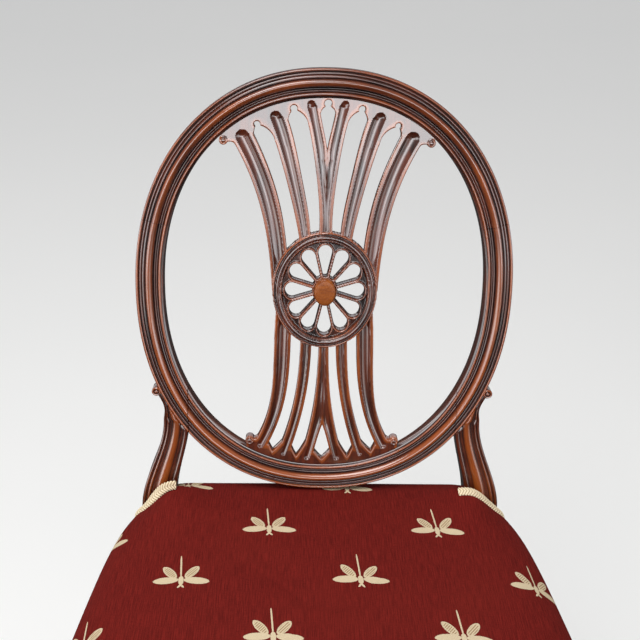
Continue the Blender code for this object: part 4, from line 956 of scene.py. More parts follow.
# Bars as (v, middle, half width) and the middle ones by their edges, each with its flute's tip. Gaps and bars
# run from the outside inwards. The scroll beside the outer bar is (u, v, radius)
UPPER_FAN = {
    "bars": (
        Bar(((0, 50.0, 10.2), (40, 53.4, 10.2), (70, 57.1, 10.3), (100, 63.7, 11.3), (130, 73.5, 11.6),
             (150, 81.6, 12.1), (170, 91.5, 13.1), (185, 100.0, 14.0)), (96.9, 179.2), 7.3),
        Bar(((60, 23.3, 6.5), (70, 24.7, 6.9), (100, 29.9, 8.2), (130, 37.1, 8.9), (150, 41.9, 9.5),
             (170, 47.5, 10.7), (190, 54.3, 11.2), (203, 60.0, 11.5)), (59.5, 199.9), 6.1),
        Fork(((70, 7.2), (100, 8.2), (130, 11.2), (150, 14.4), (170, 17.7), (190, 22.0), (200, 25.1),
              (212, 29.0)),
             ((149.0, 0.0), (170, 2.1), (180, 4.2), (190, 6.6), (200, 8.4), (212, 10.4)), (20.0, 212.0), 4.4),
    ),
    "gaps": (
        Gap((77.2, 185.3), (20.2, 20.0), (4.0, 12.0), ARCH_POWER, (77.2, 186.0, 3.5)),
        Gap((37.2, 201.8), (16.4, 18.0), (6.6, 14.0), ARCH_POWER, (37.2, 203.4, 3.85)),
        Gap((0.0, 206.5), (8.0, 8.0), (8.0, 8.0), ARCH_POWER, (0.0, 209.3, 4.2)),
    ),
    "scroll": (114.0, 168.4, 4.8),
}
LOWER_FAN = {
    "bars": (
        Bar(((20, 45.5, 9.8), (50, 47.3, 9.7), (80, 48.7, 9.5), (100, 49.3, 9.3), (130, 52.5, 8.5),
             (150, 56.5, 8.0), (170, 63.4, 7.7), (185, 70.7, 8.4), (198, 77.5, 9.0)), (74.5, 193.9), 4.6),
        Bar(((60, 20.6, 6.4), (80, 21.4, 6.4), (100, 22.5, 6.4), (130, 26.5, 6.2), (150, 30.6, 6.1),
             (170, 35.4, 6.2), (185, 40.2, 6.5), (205, 47.0, 6.8)), (46.1, 203.9), 3.7),
        Fork(((60, 5.6), (80, 6.0), (100, 6.8), (130, 9.3), (150, 11.9), (170, 15.5), (185, 19.1),
              (205, 24.5)),
             ((164.5, 0.0), (170, 1.9), (185, 6.2), (200, 10.0)), (18.5, 209.6), 3.3),
    ),
    "gaps": (
        Gap((59.0, 199.6), (12.3, 12.6), (4.6, 9.6), 1.1),
        Gap((30.7, 206.0), (11.6, 19.0), (6.3, 13.0), 1.2),
        Gap((0.0, 209.4), (10.0, 11.0), (10.0, 11.0), 1.2),
    ),
    "scroll": (86.1, 185.4, 5.0),
}


def fan_field(fan, u, v):
    """Distance inside one fan and the level of its face, for the right half and v away from the wheel."""
    bars = fan["bars"]
    inside = np.maximum.reduce([bar.inside(u, v) for bar in bars])
    depth = np.maximum.reduce([bar.flute(u, v) * (bar.inside(u, v) > 0) for bar in bars])
    web = FAR_OUTSIDE
    for bar, gap in zip(bars, fan["gaps"]):
        web = np.where(u < bar.centre(v), gap.solid(u, v), web)
    scroll_u, scroll_v, scroll_radius = fan["scroll"]
    away = np.hypot(u - scroll_u, v - scroll_v)
    neck = np.minimum(v - scroll_v + NECK_DROP, scroll_u + NECK_REACH - u)
    neck = np.where(u > bars[0].centre(v), neck, FAR_OUTSIDE)
    inside = soft_max(np.maximum(inside, web), neck, CORNER_BLEND)
    inside = np.maximum(inside, scroll_radius - away)
    share = away / scroll_radius
    dome = FACE + SCROLL_DOME * np.sqrt(np.clip(1 - share**2, 0.0, 1.0))
    dome = dome - EYE_DEPTH * np.exp(-(((share - EYE_PLACE) / EYE_WIDTH) ** 2))
    return inside, np.where(share < 1.0, dome, FACE - depth)


# The ring's section as (inset, level, wear)
RING_SECTION = (
    (0.0, -6.4, 0.7), (0.4, -4.6, 0.9), (1.1, -3.8, 0.9), (1.9, -4.2, 0.7), (2.4, -5.4, 0.1),
    (3.0, -6.3, 0.1), (3.8, -5.9, 0.1), (4.2, -4.5, 0.1), (4.6, -3.5, 0.1), (5.1, -3.23, 0.1),
    (6.3, -3.05, 0.1), (7.5, -3.23, 0.1), (8.0, -3.5, 0.1), (8.4, -4.5, 0.1), (8.7, -5.3, 0.0),
    (9.1, -4.5, 0.6), (9.7, -3.9, 0.8), (10.3, -4.6, 0.6), (10.8, -6.0, 0.1), (12.0, -8.2, 0.0),
)
RING_INSET, RING_LEVEL, RING_WEAR = zip(*RING_SECTION)
RING_LIP = 1.5
RING_INNER = RING_WIDTH / MM
RING_FACE = RING_INNER - RING_LIP
RIB_HALF = 1.35
RIB_CROWN = -4.9
RIB_FOOT = -7.6
SPANDREL = -9.2


def petal_inside(u, v):
    """Distance inside the nearest opening of the wheel, in millimetres."""
    wide = (WHEEL_HALF_WIDTH - RING_WIDTH) / MM
    high = (WHEEL_HALF_HEIGHT - RING_WIDTH) / MM
    x, y = u / wide, v / high
    half_turn = math.pi / SPOKE_COUNT
    spoke = SPOKE_WIDTH / MM / 2 / wide
    turn = (np.arctan2(y, x) + half_turn) % (2 * half_turn) - half_turn
    reach = np.hypot(x, y)
    along, across = reach * np.cos(turn), np.abs(reach * np.sin(turn))
    side = along * math.sin(half_turn) - across * math.cos(half_turn) - spoke
    middle = (PETAL_REACH + spoke) / (1 + math.sin(half_turn))
    arch = PETAL_REACH - middle - np.hypot(along - middle, across)
    past = np.arctan2(across, along - middle) < math.pi / 2 + half_turn
    return np.minimum(np.where(past, arch, side), along - HUB_SHARE) * (wide + high) / 2


def wheel_field(u, v):
    """Distance inside the wheel's wood, the level of its face and the distance inside its rim."""
    wide, high = WHEEL_HALF_WIDTH / MM, WHEEL_HALF_HEIGHT / MM
    reach = np.maximum(np.hypot(u / wide, v / high), 0.05)
    slope = np.hypot(u / wide**2, v / high**2) / reach
    inset = (1 - reach) / np.maximum(slope, 1e-6)
    wood = -petal_inside(u, v)
    share = (wood - RIB_HALF) / RIB_HALF
    rib = RIB_FOOT + (RIB_CROWN - RIB_FOOT) * np.sqrt(np.clip(1 - share**2, 0.0, 1.0))
    rib = np.where(share > 1.0, SPANDREL, rib)
    ring = np.interp(inset, RING_INSET, RING_LEVEL)
    inside = np.where(inset < RING_FACE, inset, np.minimum(inset, wood))
    inner = np.maximum(rib, np.where(inset < RING_INNER, ring, SPANDREL))
    return inside, np.where(inset < RING_FACE, ring, inner), inset


def splat_field(u, v):
    """Distance inside the whole splat and the level of its face there."""
    upper = fan_field(UPPER_FAN, np.abs(u), np.maximum(v, 0.0))
    lower = fan_field(LOWER_FAN, np.abs(u), np.maximum(-v, 0.0))
    *wheel, inset = wheel_field(u, v)
    inside, level = (
        np.where(inset > 0, middle, np.where(v > 0, above, below))
        for middle, above, below in zip(wheel, upper, lower)
    )
    near = np.clip(1 - inside / EDGE_ROUND, 0.0, 1.0)
    return inside, level - EDGE_ROUND * (1 - np.sqrt(1 - near**2))


INNER_U, INNER_V = oval_point(np.linspace(-math.pi, math.pi, 1441), MOULD_WIDTH + FIT_GAP)
INNER_ANGLE = np.arctan2(INNER_V, INNER_U)
INNER_ANGLE[0], INNER_ANGLE[-1] = -math.pi, math.pi
INNER_REACH = np.hypot(INNER_U, INNER_V) / MM


def framed(inside, u, v):
    """The distance inside the splat, ended where the oval begins."""
    return np.minimum(inside, np.interp(np.arctan2(v, u), INNER_ANGLE, INNER_REACH) - np.hypot(u, v))


WEAR_START = 1.5
WEAR_RUN = 4.0
WEB_WEAR = 0.16
FILLET_WEAR = 0.69
SUNK_START = 0.1
SUNK_RUN = 0.8
RIB_WEAR = 0.75
SPLAT_BACK_WEAR = 0.35


def splat_wear(u, v):
    """Wear: most on the fillets beside the openings, least in the hollows and on the plain web."""
    inside, level = splat_field(u, v)
    fillet = 1 - smooth_step((inside - WEAR_START) / WEAR_RUN)
    sunk = smooth_step((FACE - EDGE_ROUND - SUNK_START - level) / SUNK_RUN)
    fan = WEB_WEAR + FILLET_WEAR * fillet * (1 - sunk)
    inset = wheel_field(u, v)[2]
    rib = RIB_WEAR * smooth_step((level - RIB_FOOT) / (RIB_CROWN - RIB_FOOT))
    ring = np.where(inset < RING_FACE, np.interp(inset, RING_INSET, RING_WEAR), rib)
    return np.where(inset > 0, ring, fan)


LEAST_CUT = 0.05


def cell_corners(row, column):
    return (row, column), (row, column + 1), (row + 1, column + 1), (row + 1, column)


def edge_crossings(inside, grid, total):
    """Points where the lines of a grid leave the inside, and their numbers, counted on from a total."""
    points, numbers = [], {}
    rows, columns = inside.shape
    for step_row, step_column in ((0, 1), (1, 0)):
        first = inside[: rows - step_row, : columns - step_column]
        second = inside[step_row:, step_column:]
        row, column = np.nonzero((first > 0) != (second > 0))
        a, b = first[row, column], second[row, column]
        share = np.clip(a / (a - b), LEAST_CUT, 1 - LEAST_CUT)[:, None]
        start, end = grid[row, column], grid[row + step_row, column + step_column]
        points.append(start + (end - start) * share)
        for key in zip(row.tolist(), column.tolist()):
            numbers[(*key, step_row)] = total + len(numbers)
    return np.concatenate(points), numbers


def cut_cell(row, column, kept, number, crossings):
    """The polygon of a cell that lies partly inside, through its kept corners and crossings."""
    corners = cell_corners(row, column)
    edges = ((row, column, 0), (row, column + 1, 1), (row + 1, column, 0), (row, column, 1))
    polygon = []
    for k in range(4):
        here, after = kept[corners[k]], kept[corners[(k + 1) % 4]]
        if here:
            polygon.append(int(number[corners[k]]))
        if here != after:
            polygon.append(crossings[edges[k]])
    return polygon


def relief_outline(inside, u, v):
    """Points and polygons of the part of a grid that lies inside, cut off where the distance is nil."""
    grid = np.stack((u, v), axis=-1)
    kept = inside > 0
    total = int(kept.sum())
    number = np.full(inside.shape, -1)
    number[kept] = np.arange(total)
    cut_points, crossings = edge_crossings(inside, grid, total)
    filled = sum(k.astype(int) for k in (kept[:-1, :-1], kept[:-1, 1:], kept[1:, 1:], kept[1:, :-1]))
    whole = cell_corners(*np.nonzero(filled == 4))
    polygons = np.stack([number[corner] for corner in whole], axis=-1).tolist()
    partly = np.argwhere((filled > 0) & (filled < 4)).tolist()
    polygons += [cut_cell(row, column, kept, number, crossings) for row, column in partly]
    return np.concatenate((grid[kept], cut_points)), polygons


def border_edges(polygons):
    """Edges that only one polygon uses, in its direction."""
    seen = {}
    for polygon in polygons:
        for first, second in zip(polygon, polygon[1:] + polygon[:1]):
            if (second, first) in seen:
                del seen[(second, first)]
            else:
                seen[(first, second)] = True
    return list(seen)


def fill_outline(flat, edges):
    """Triangles over the area between closed outlines."""
    bm = bmesh.new()
    verts = [bm.verts.new((u, v, 0.0)) for u, v in flat]
    lines = [bm.edges.new((verts[a], verts[b])) for a, b in edges]
    bmesh.ops.triangle_fill(bm, use_beauty=False, edges=lines, normal=(0, 0, 1))
    bm.verts.index_update()
    faces = [[vert.index for vert in face.verts] for face in bm.faces]
    bm.free()
    return faces


NORMAL_STEP = 0.35
STEEPEST = 1.6


def relief_normals(u, v):
    """Normals of the carved face, from how its level changes around each place."""
    slope_u = splat_field(u + NORMAL_STEP, v)[1] - splat_field(u - NORMAL_STEP, v)[1]
    slope_v = splat_field(u, v + NORMAL_STEP)[1] - splat_field(u, v - NORMAL_STEP)[1]
    out = np.maximum(2 * NORMAL_STEP, np.hypot(slope_u, slope_v) / STEEPEST)
    across, up = -slope_u, -slope_v
    normals = np.stack((across, up * TILT_SIN - out * TILT_COS, up * TILT_COS + out * TILT_SIN), axis=-1)
    return normals / np.linalg.norm(normals, axis=-1, keepdims=True)


def smooth_face(mesh, face_count, normals):
    """Sets the normals at the corners of the mesh's first faces. The others keep their own."""
    last = mesh.polygons[face_count - 1]
    count = last.loop_start + last.loop_total
    corners = np.zeros((len(mesh.loops), 3))
    corners[:count] = normals[corner_points(mesh)[:count]]
    mesh.normals_split_custom_set(corners.tolist())


def make_splat():
    """The pierced board: carved face, upright sides and a flat back."""
    u, v = np.meshgrid(*(np.arange(-reach, reach + CELL, CELL) for reach in SPLAT_REACH))
    flat, polygons = relief_outline(framed(splat_field(u, v)[0], u, v), u, v)
    u, v = flat.T
    count = len(flat)
    edges = border_edges(polygons)
    border = sorted({a for a, _ in edges})
    order = {a: k for k, a in enumerate(border)}
    rim = [(order[a], order[b]) for a, b in edges]
    faces = polygons + [[b, a, count + order[a], count + order[b]] for a, b in edges]
    faces += [[count + k for k in face] for face in fill_outline(flat[border], rim)]
    places = np.concatenate((flat, flat[border]))[:, ::-1] * MM
    depth = np.concatenate((splat_field(u, v)[1] * MM, np.full(len(border), SPLAT_BACK)))
    wear = np.concatenate((splat_wear(u, v), np.full(len(border), SPLAT_BACK_WEAR)))
    skin = Skin(back_points(places[:, 1], places[:, 0], depth), faces, places, wear)
    piece = make_piece("carved_splat", [skin], CARVED_MAHOGANY, ["back_splat"])
    smooth_face(piece.data, len(polygons), relief_normals(u, v))


BOSS_SEAT = 0.0014
BOSS_EDGE = 0.0026
BOSS_EDGE_RISE = 0.0024
BOSS_EDGE_WIDTH = 0.2
BOSS_DOME = 0.0002


def make_boss():
    """The oval boss: a narrow foot, a rounded rim and a slightly domed top."""
    base = -SPLAT_DROP - BOSS_SEAT + FIT_GAP
    top = -SPLAT_DROP + BOSS_RISE
    edge = top - BOSS_EDGE
    levels = [(0.82, base, 0.2), (0.97, base + 0.0006, 0.3), (1.0, base + 0.003, 0.5), (1.0, edge, 0.6)]
    levels += [(1 - BOSS_EDGE_WIDTH * (1 - math.cos(a)), edge + BOSS_EDGE_RISE * math.sin(a), 1.0)
               for a in np.linspace(0.2, math.pi / 2, 7)]
    levels += [(s, top + BOSS_DOME * (1 - s), 0.8) for s in (0.7, 0.55, 0.4, 0.25, 0.1)]
    skin = turned_skin((0.0, 0.0), (BOSS_HALF_WIDTH, BOSS_HALF_HEIGHT), levels, 64)
    skin.places = skin.points[:, [0, 2]]
    make_piece("turned_boss", [skin], BOSS_WOOD, ["wheel_boss"])


# Front legs

LEG_EASE = 0.0012
TOE_EASE = 0.002
LAND_WEAR = 0.7
FLUTE_CARE = 0.6
PLAIN_LEG_WEAR = 0.5
LEG_WEAR = 0.8


def fluted_section(size, depth):
    """A square section as (inwards, back, wear), fluted on its front and outer faces, with eased corners.

    Flutes are two lands wide and one land apart, with a land and a half beside the outer ones.
    """
    land = size / (3 * LEG_FLUTES + 2)
    turn = np.linspace(0, math.pi, 9)
    face = []
    for k in range(LEG_FLUTES):
        place = (2.5 + 3 * k) * land - np.cos(turn) * land
        face += list(zip(place, depth * np.sin(turn), LAND_WEAR - FLUTE_CARE * np.sin(turn)))
    ease, far = LEG_EASE, size - LEG_EASE
    corner = CORNER_CUT * ease
    points = [(0.0, ease, 0.8), (corner, corner, 1.0), (ease, 0.0, 0.8)] + face
    points += [(far, 0.0, 0.8), (size, ease, 0.8), (size, far, 0.7), (far, size, 0.7)]
    points += [(ease, size, 0.7), (0.0, far, 0.8)]
    points += [(into, size - along, wear) for along, into, wear in face]
    return np.array(points)


def front_leg_levels():
    """Levels of a front leg as (z, size, share of the flutes' depth), from the top down to the toe."""
    taper_top = RAIL_BOTTOM - LEG_FLUTE_MARGIN / 2
    high, low = taper_top - LEG_FLUTE_MARGIN, ANKLE_HEIGHT + LEG_FLUTE_MARGIN
    run = LEG_FLUTE_MARGIN / 3
    levels = [(RAIL_TOP, FRONT_LEG_SIZE, 0.0), (taper_top, FRONT_LEG_SIZE, 0.0)]
    ends = list(np.linspace(high, high - run, 6)) + list(np.linspace(low + run, low, 6))
    for z in ends + [ANKLE_HEIGHT + MM]:
        fall = (taper_top - z) / (taper_top - ANKLE_HEIGHT)
        open_share = np.clip(min(high - z, z - low) / run, 0.0, 1.0)
        levels.append((z, FRONT_LEG_SIZE + (ANKLE_SIZE - FRONT_LEG_SIZE) * fall, math.sqrt(open_share)))
    for turn in np.linspace(0, math.pi / 2, 6):
        size = ANKLE_SIZE + (SPADE_SIZE - ANKLE_SIZE) * (1 - math.cos(turn))
        levels.append((ANKLE_HEIGHT - SPADE_FLARE * math.sin(turn), size, 0.0))
    levels.append((ANKLE_HEIGHT - SPADE_FLARE - TOE_EASE, SPADE_SIZE, 0.0))
    return levels + [(MM, SPADE_TOE_SIZE, 0.0), (0.0, SPADE_TOE_SIZE - TOE_EASE, 0.0)]


def make_front_leg(side):
    """Square tapered leg with stopped flutes and a spade foot."""
    rings, wear = [], []
    for z, size, share in front_leg_levels():
        flare = (size - ANKLE_SIZE) / 2 if z < ANKLE_HEIGHT else 0.0
        inwards, back, worn = fluted_section(size, share * LEG_FLUTE_DEPTH).T
        x = side * (FRONT_HALF_WIDTH + flare - inwards)
        rings.append(np.column_stack((x, FRONT_Y - flare + back, np.full(len(x), z))))
        wear.append(np.where(share > 0, worn, np.maximum(worn, PLAIN_LEG_WEAR)) * LEG_WEAR)
    skin = sweep(rings, np.array(wear))
    make_piece(side_name("tapered_leg", side), [skin], MAHOGANY, [side_name("front_leg", side)])


# Seat

# Levels of the cover's sides as (share of the height, share of the bulge), and of its crown as scales
WALL_LEVELS = (
    (0.0, 0.0), (0.08, 0.0), (0.16, 0.0), (0.3, 0.16), (0.42, 0.33),
    (0.54, 0.51), (0.66, 0.69), (0.77, 0.83), (0.86, 0.92), (0.94, 0.98),
)
CROWN_SCALES = 1 - np.concatenate((np.linspace(0, 0.32, 15) ** 2, np.linspace(0.14, 0.97, 22)))
POST_SWELL = 0.016
SWELL_AHEAD = 0.045
SWELL_BEHIND = 0.016
SWELL_INWARDS = 0.036
SWELL_EVENING = 24
SWELL_FRAMES = 14
SWELL_PRESSURE = 3.0
SWELL_CAP = 0.003
SWELL_WALLS = 5
HELD_CROWN = 2
SIDE_SPREAD = 1.25


def side_line(y):
    """Half the width of the seat's frame."""
    share = np.minimum((REAR_LEG_Y - y) / (SEAT_DEPTH - FRONT_LEG_SIZE), 1.0)
    return REAR_HALF_WIDTH + (FRONT_HALF_WIDTH - REAR_HALF_WIDTH) * share


def front_line(x):
    """The bowed front of the seat's frame."""
    share = np.minimum(np.abs(x) / FRONT_HALF_WIDTH, 1.0)
    return FRONT_Y - FRONT_BOW * (1 - share * share)


def cover_side(y, offset=0.0, share=1.0):
    """Half the width of the cover, moved out by an offset, with a share of its bulge."""
    bulge = SIDE_BULGE * (1 - np.exp(-np.maximum(REAR_LEG_Y - y, 0.0) / BULGE_RUN))
    return side_line(y) + COVER_SKIN + offset + share * bulge


def cover_front(x, offset=0.0, share=1.0):
    return front_line(x) - COVER_SKIN - offset - share * FRONT_BULGE


def round_corner(start, corner, end):
    """Places on a curve that turns a corner, between its two ends."""
    t = np.linspace(0, 1, 9)[1:-1, None]
    return (1 - t) ** 2 * np.array(start) + 2 * t * (1 - t) * np.array(corner) + t * t * np.array(end)


def cover_outline(offset, share):
    """The seat cover in plan as points (x, y) and whether each hangs down over a rail."""
    rear = COVER_REAR + offset
    notch_x = REAR_LEG_INNER - NOTCH_CLEARANCE + offset
    notch_y = REAR_LEG_Y - FIT_GAP + offset
    free_x, free_y = notch_x - COVER_RELEASE, notch_y - COVER_RELEASE
    points = [(x, rear, True) for x in np.linspace(0, free_x, 14)]
    points += [(x, rear, False) for x in np.linspace(free_x, notch_x, 4)[1:]]
    points += [(notch_x, y, False) for y in np.linspace(rear, notch_y, 9)[1:]]
    side_end = cover_side(notch_y, offset, share)
    points += [(x, notch_y, False) for x in np.linspace(notch_x, side_end, 10)[1:]]
    points += [(cover_side(y, offset, share), y, False) for y in np.linspace(notch_y, free_y, 5)[1:-1]]
    corner_y = cover_front(cover_side(FRONT_Y, offset, share), offset, share)
    corner_x = cover_side(corner_y, offset, share)
    corner_round = CORNER_EASE + share * CORNER_ROUND
    turn_y, turn_x = corner_y + corner_round, corner_x - corner_round
    places = free_y + (turn_y - free_y) * np.linspace(0, 1, 30) ** SIDE_SPREAD
    points += [(cover_side(y, offset, share), y, True) for y in places]
    end = (turn_x, cover_front(turn_x, offset, share))
    points += [(*place, True) for place in round_corner(points[-1][:2], (corner_x, corner_y), end)]
    points += [(x, cover_front(x, offset, share), True) for x in np.linspace(turn_x, 0, 22)]
    plan = np.array([(x, y) for x, y, _ in points])
    hangs = np.array([h for *_, h in points])
    mirrored = plan[-2:0:-1] * (-1, 1)
    return np.concatenate((plan, mirrored)), np.concatenate((hangs, hangs[-2:0:-1]))


def roll(distance, radius):
    share = np.clip(distance / radius, 0.0, 1.0)
    return np.sqrt(1 - (1 - share) ** 2)


def post_swell(x, y):
    """How much fuller the cover stands in front of a rear leg, most at the leg's inner corner."""
    past = np.abs(x) - REAR_LEG_INNER
    outwards = smooth_step(1 - past / (REAR_HALF_WIDTH - REAR_LEG_INNER))
    across = np.where(past > 0, outwards, np.exp(-((past / SWELL_INWARDS) ** 2)))
    ahead = REAR_LEG_Y - y
    along = np.exp(-((ahead / np.where(ahead > 0, SWELL_AHEAD, SWELL_BEHIND)) ** 2))
    return POST_SWELL * across * along


def cloth_height(x, y):
    """The crowned top of the seat, rolled down at its sides, front and back and swelled at the rear legs."""
    side = cover_side(y)
    rolled = roll(side - np.abs(x), SIDE_ROLL) * roll(y - cover_front(x), FRONT_ROLL)
    rolled = rolled * roll(COVER_REAR - y, REAR_ROLL)
    reach = (COVER_REAR - COVER_FRONT) / 2
    crown = np.maximum(0, 1 - (x / side) ** 2) * np.maximum(0, 1 - ((y - COVER_MIDDLE) / reach) ** 2)
    return ROLL_START + ROLL_HEIGHT * rolled + SEAT_CROWN * crown + post_swell(x, y)


def seat_rings():
    """Rings from the lower edge of the cover up its sides and over the crown to the middle."""
    edge, hangs = cover_outline(0.0, 1.0)
    top = cloth_height(*edge.T)
    foot = np.where(hangs, RAIL_BOTTOM, RAIL_TOP + COVER_SKIN)
    rings = []
    for rise, share in WALL_LEVELS:
        plan, _ = cover_outline(0.0, share)
        rings.append(np.column_stack((plan, foot + (top - foot) * rise)))
    for scale in CROWN_SCALES:
        plan = SEAT_MIDDLE + (edge - SEAT_MIDDLE) * scale
        rings.append(np.column_stack((plan, cloth_height(*plan.T))))
    return np.array(rings), hangs


def read_vectors(rows, name):
    values = np.zeros(len(rows) * 3)
    rows.foreach_get(name, values)
    return values.reshape(-1, 3)


def add_cloth(piece, group):
    """A weightless cloth with pressure from inside, held at the points of a group."""
    cloth = piece.modifiers.new("cloth", "CLOTH")
    settings = cloth.settings
    settings.vertex_group_mass = group.name
    settings.use_pressure = True
    settings.uniform_pressure_force = SWELL_PRESSURE
    settings.quality = 6
    settings.mass = 0.3
    settings.tension_stiffness = settings.compression_stiffness = 25
    settings.bending_stiffness = 2.0
    settings.effector_weights.gravity = 0.0
    cloth.point_cache.frame_start, cloth.point_cache.frame_end = 1, SWELL_FRAMES
    return cloth


def evened(swell, free):
    """A swell over a grid of points, shared out among neighbours where it is free."""
    for _ in range(SWELL_EVENING):
        around = np.roll(swell, 1, axis=1) + np.roll(swell, -1, axis=1)
        over = np.concatenate((swell[:1], swell[:-1])) + np.concatenate((swell[1:], swell[-1:]))
        swell = free * (swell + around + over) / 5
    return swell


def inflate(piece, shape, pinned):
    """Swells the cloth over its stuffing with a short simulation and keeps the outward part, evened out."""
    mesh = piece.data
    rest = read_vectors(mesh.vertices, "co")
    outward = read_vectors(mesh.vertex_normals, "vector")
    group = piece.vertex_groups.new(name="pinned")
    group.add(pinned, 1.0, "REPLACE")
    cloth = add_cloth(piece, group)
    scene = bpy.context.scene
    for number in range(1, SWELL_FRAMES + 1):
        scene.frame_set(number)
    swollen = piece.evaluated_get(bpy.context.evaluated_depsgraph_get()).to_mesh()
    moved = read_vectors(swollen.vertices, "co") - rest
    piece.modifiers.remove(cloth)
    piece.vertex_groups.remove(group)
    swell = np.clip(np.sum(moved * outward, axis=1), 0.0, SWELL_CAP)
    free = np.ones(len(rest))
    free[pinned] = 0.0
    swell = evened(swell.reshape(shape), free.reshape(shape))
    mesh.vertices.foreach_set("co", (rest + outward * swell.reshape(-1, 1)).ravel())
    mesh.update()
    scene.frame_set(1)


def make_seat():
    """The crowned, stuffed seat in its woven cover, as one closed form."""
    rings, hangs = seat_rings()
    count = rings.shape[1]
    skin = sweep(rings)
    length = run_length(rings[::-1], 0)[::-1]
    plan = rings[len(WALL_LEVELS), :, :2] - SEAT_MIDDLE
    reach = np.linalg.norm(plan, axis=1)
    start = np.linalg.norm(rings[-1, :, :2] - SEAT_MIDDLE, axis=1)
    away = (length + start)[..., None] * (plan / reach[:, None])
    skin.places = (away + SEAT_MIDDLE).reshape(-1, 2)
    nodes = ["seat_cover", "seat_stuffing"]
    piece = make_piece("stuffed_seat", [skin], CLOTH, nodes, CLOTH_MAP)
    walls = len(WALL_LEVELS)
    pinned = [r * count + k for r in range(walls - SWELL_WALLS) for k in range(count)]
    pinned += [r * count + k for r in range(walls + HELD_CROWN) for k in range(count) if not hangs[k]]
    inflate(piece, rings.shape[:2], pinned)


# Braid

BRAID_STEP = 0.0007
BRAID_ACROSS = np.linspace(-1, 1, 11)
BRAID_SCALLOP = 0.22
SCALLOP_MEAN = 0.64
EDGE_POWER = 6
BRAID_BASE = 0.35
RIDGE_BASE = 0.45
RIDGE_ROUNDNESS = 0.7
SPINE_WIDTH = 0.16
SPINE_DEPTH = 0.6
BRAID_LEAN = {-1: math.radians(76), 1: math.radians(12)}
BRAID_START = {-1: 80.0, 1: 88.0}
BORDER_Z = RAIL_BOTTOM + (GIMP_THICKNESS + GIMP_WIDTH) / 2


def unit_rows(vectors):
    return vectors / np.linalg.norm(vectors, axis=1, keepdims=True)


def make_braid(name, centre, across, out, node):
    """A flat braid with scalloped edges and herringbone ridges, along a path of points."""
    run = run_length(centre, 0)
    share = np.arange(0, run[-1], BRAID_STEP)
    centre, across, out = (np.stack([np.interp(share, run, a[:, k]) for k in range(3)], axis=-1)
                           for a in (centre, across, out))
    across, out = unit_rows(across), unit_rows(out)
    beat = share[:, None] / BRAID_PITCH
    scallop = 1 + BRAID_SCALLOP * (np.abs(np.sin(math.pi * (beat + BRAID_SLANT))) - SCALLOP_MEAN)
    place = GIMP_WIDTH / 2 * BRAID_ACROSS * scallop
    ridge = np.abs(np.sin(math.pi * (beat + BRAID_SLANT * np.abs(BRAID_ACROSS)))) ** RIDGE_ROUNDNESS
    spine = np.exp(-((BRAID_ACROSS / SPINE_WIDTH) ** 2))
    edge = np.sqrt(np.clip(1 - np.abs(BRAID_ACROSS) ** EDGE_POWER, 0.0, 1.0))
    cord = RIDGE_BASE + (1 - RIDGE_BASE) * ridge * (1 - SPINE_DEPTH * spine)
    height = GIMP_THICKNESS * (BRAID_BASE + (1 - BRAID_BASE) * edge * cord)
    lower = centre[:, None] + across[:, None] * place[..., None]
    upper = lower + out[:, None] * height[..., None]
    skin = sweep(np.concatenate((upper, lower[:, ::-1]), axis=1))
    mapped = np.stack((np.broadcast_to(share[:, None], place.shape), place), axis=-1)
    skin.places = np.concatenate((mapped, mapped[:, ::-1]), axis=1).reshape(-1, 2)
    make_piece(name, [skin], BRAID, [node], CLOTH_MAP)


def make_leg_braid(side):
    """Braid over the cover's cut edge: it leans on the front of the stile, then lies flat down the side."""
    half = GIMP_WIDTH / 2
    front = REAR_LEG_Y - 2 * FIT_GAP
    turns = np.radians(np.linspace(BRAID_START[side], 0, 40))
    x = cover_side(front - half) - SIDE_ROLL * (1 - np.cos(turns))
    lean = BRAID_LEAN[side] * (1 - smooth_step((x - x[0]) / (REAR_HALF_WIDTH - x[0])))
    y = front - half * np.cos(lean)
    wall = [(cover_side(front - half, 0.0, share), RAIL_BOTTOM + (ROLL_START - RAIL_BOTTOM) * rise)
            for rise, share in WALL_LEVELS[:1:-1]]
    path = np.concatenate((np.column_stack((x, cloth_height(x, y))), wall))
    lean = np.concatenate((lean, np.zeros(len(wall))))[:, None]
    y = np.concatenate((y, np.full(len(wall), front - half)))
    along = unit_rows(np.gradient(path, axis=0))
    normal = np.column_stack((-along[:, 1], along[:, 0]))
    lifted = path + normal * (2 * FIT_GAP + half * np.sin(lean))
    centre = np.column_stack((side * lifted[:, 0], y, lifted[:, 1]))
    up = np.column_stack((side * normal[:, 0], np.zeros(len(path)), normal[:, 1]))
    behind = np.array((0.0, 1.0, 0.0))
    across = np.cos(lean) * behind + np.sin(lean) * up
    face = np.cos(lean) * up - np.sin(lean) * behind
    make_braid(side_name("leg_braid", side), centre, across, face, side_name("gimp_rear_leg", side))


def make_lower_braid(name, plan, node):
    """Braid along the lower edge of the cover, facing outwards."""
    centre = np.column_stack((plan, np.full(len(plan), BORDER_Z)))
    up = np.tile(UPWARDS, (len(centre), 1))
    out = np.cross(up, np.gradient(centre, axis=0))
    out *= np.sign(np.sum(out[:, :2] * (plan - SEAT_MIDDLE), axis=1))[:, None]
    make_braid(name, centre, up, out, node)


def make_border_braids():
    """One braid from a rear leg round the front to the other, and a short one between the rear legs."""
    plan, hangs = cover_outline(FIT_GAP, 0.0)
    make_lower_braid("border_braid", plan[hangs & (plan[:, 1] < REAR_LEG_Y)], "gimp_border")
    half = REAR_LEG_INNER - NOTCH_CLEARANCE - COVER_RELEASE
    x = np.linspace(-half, half, 20)
    make_lower_braid("rear_braid", np.column_stack((x, np.full(len(x), COVER_REAR + FIT_GAP))), "gimp_rear")


# Webbing and linings

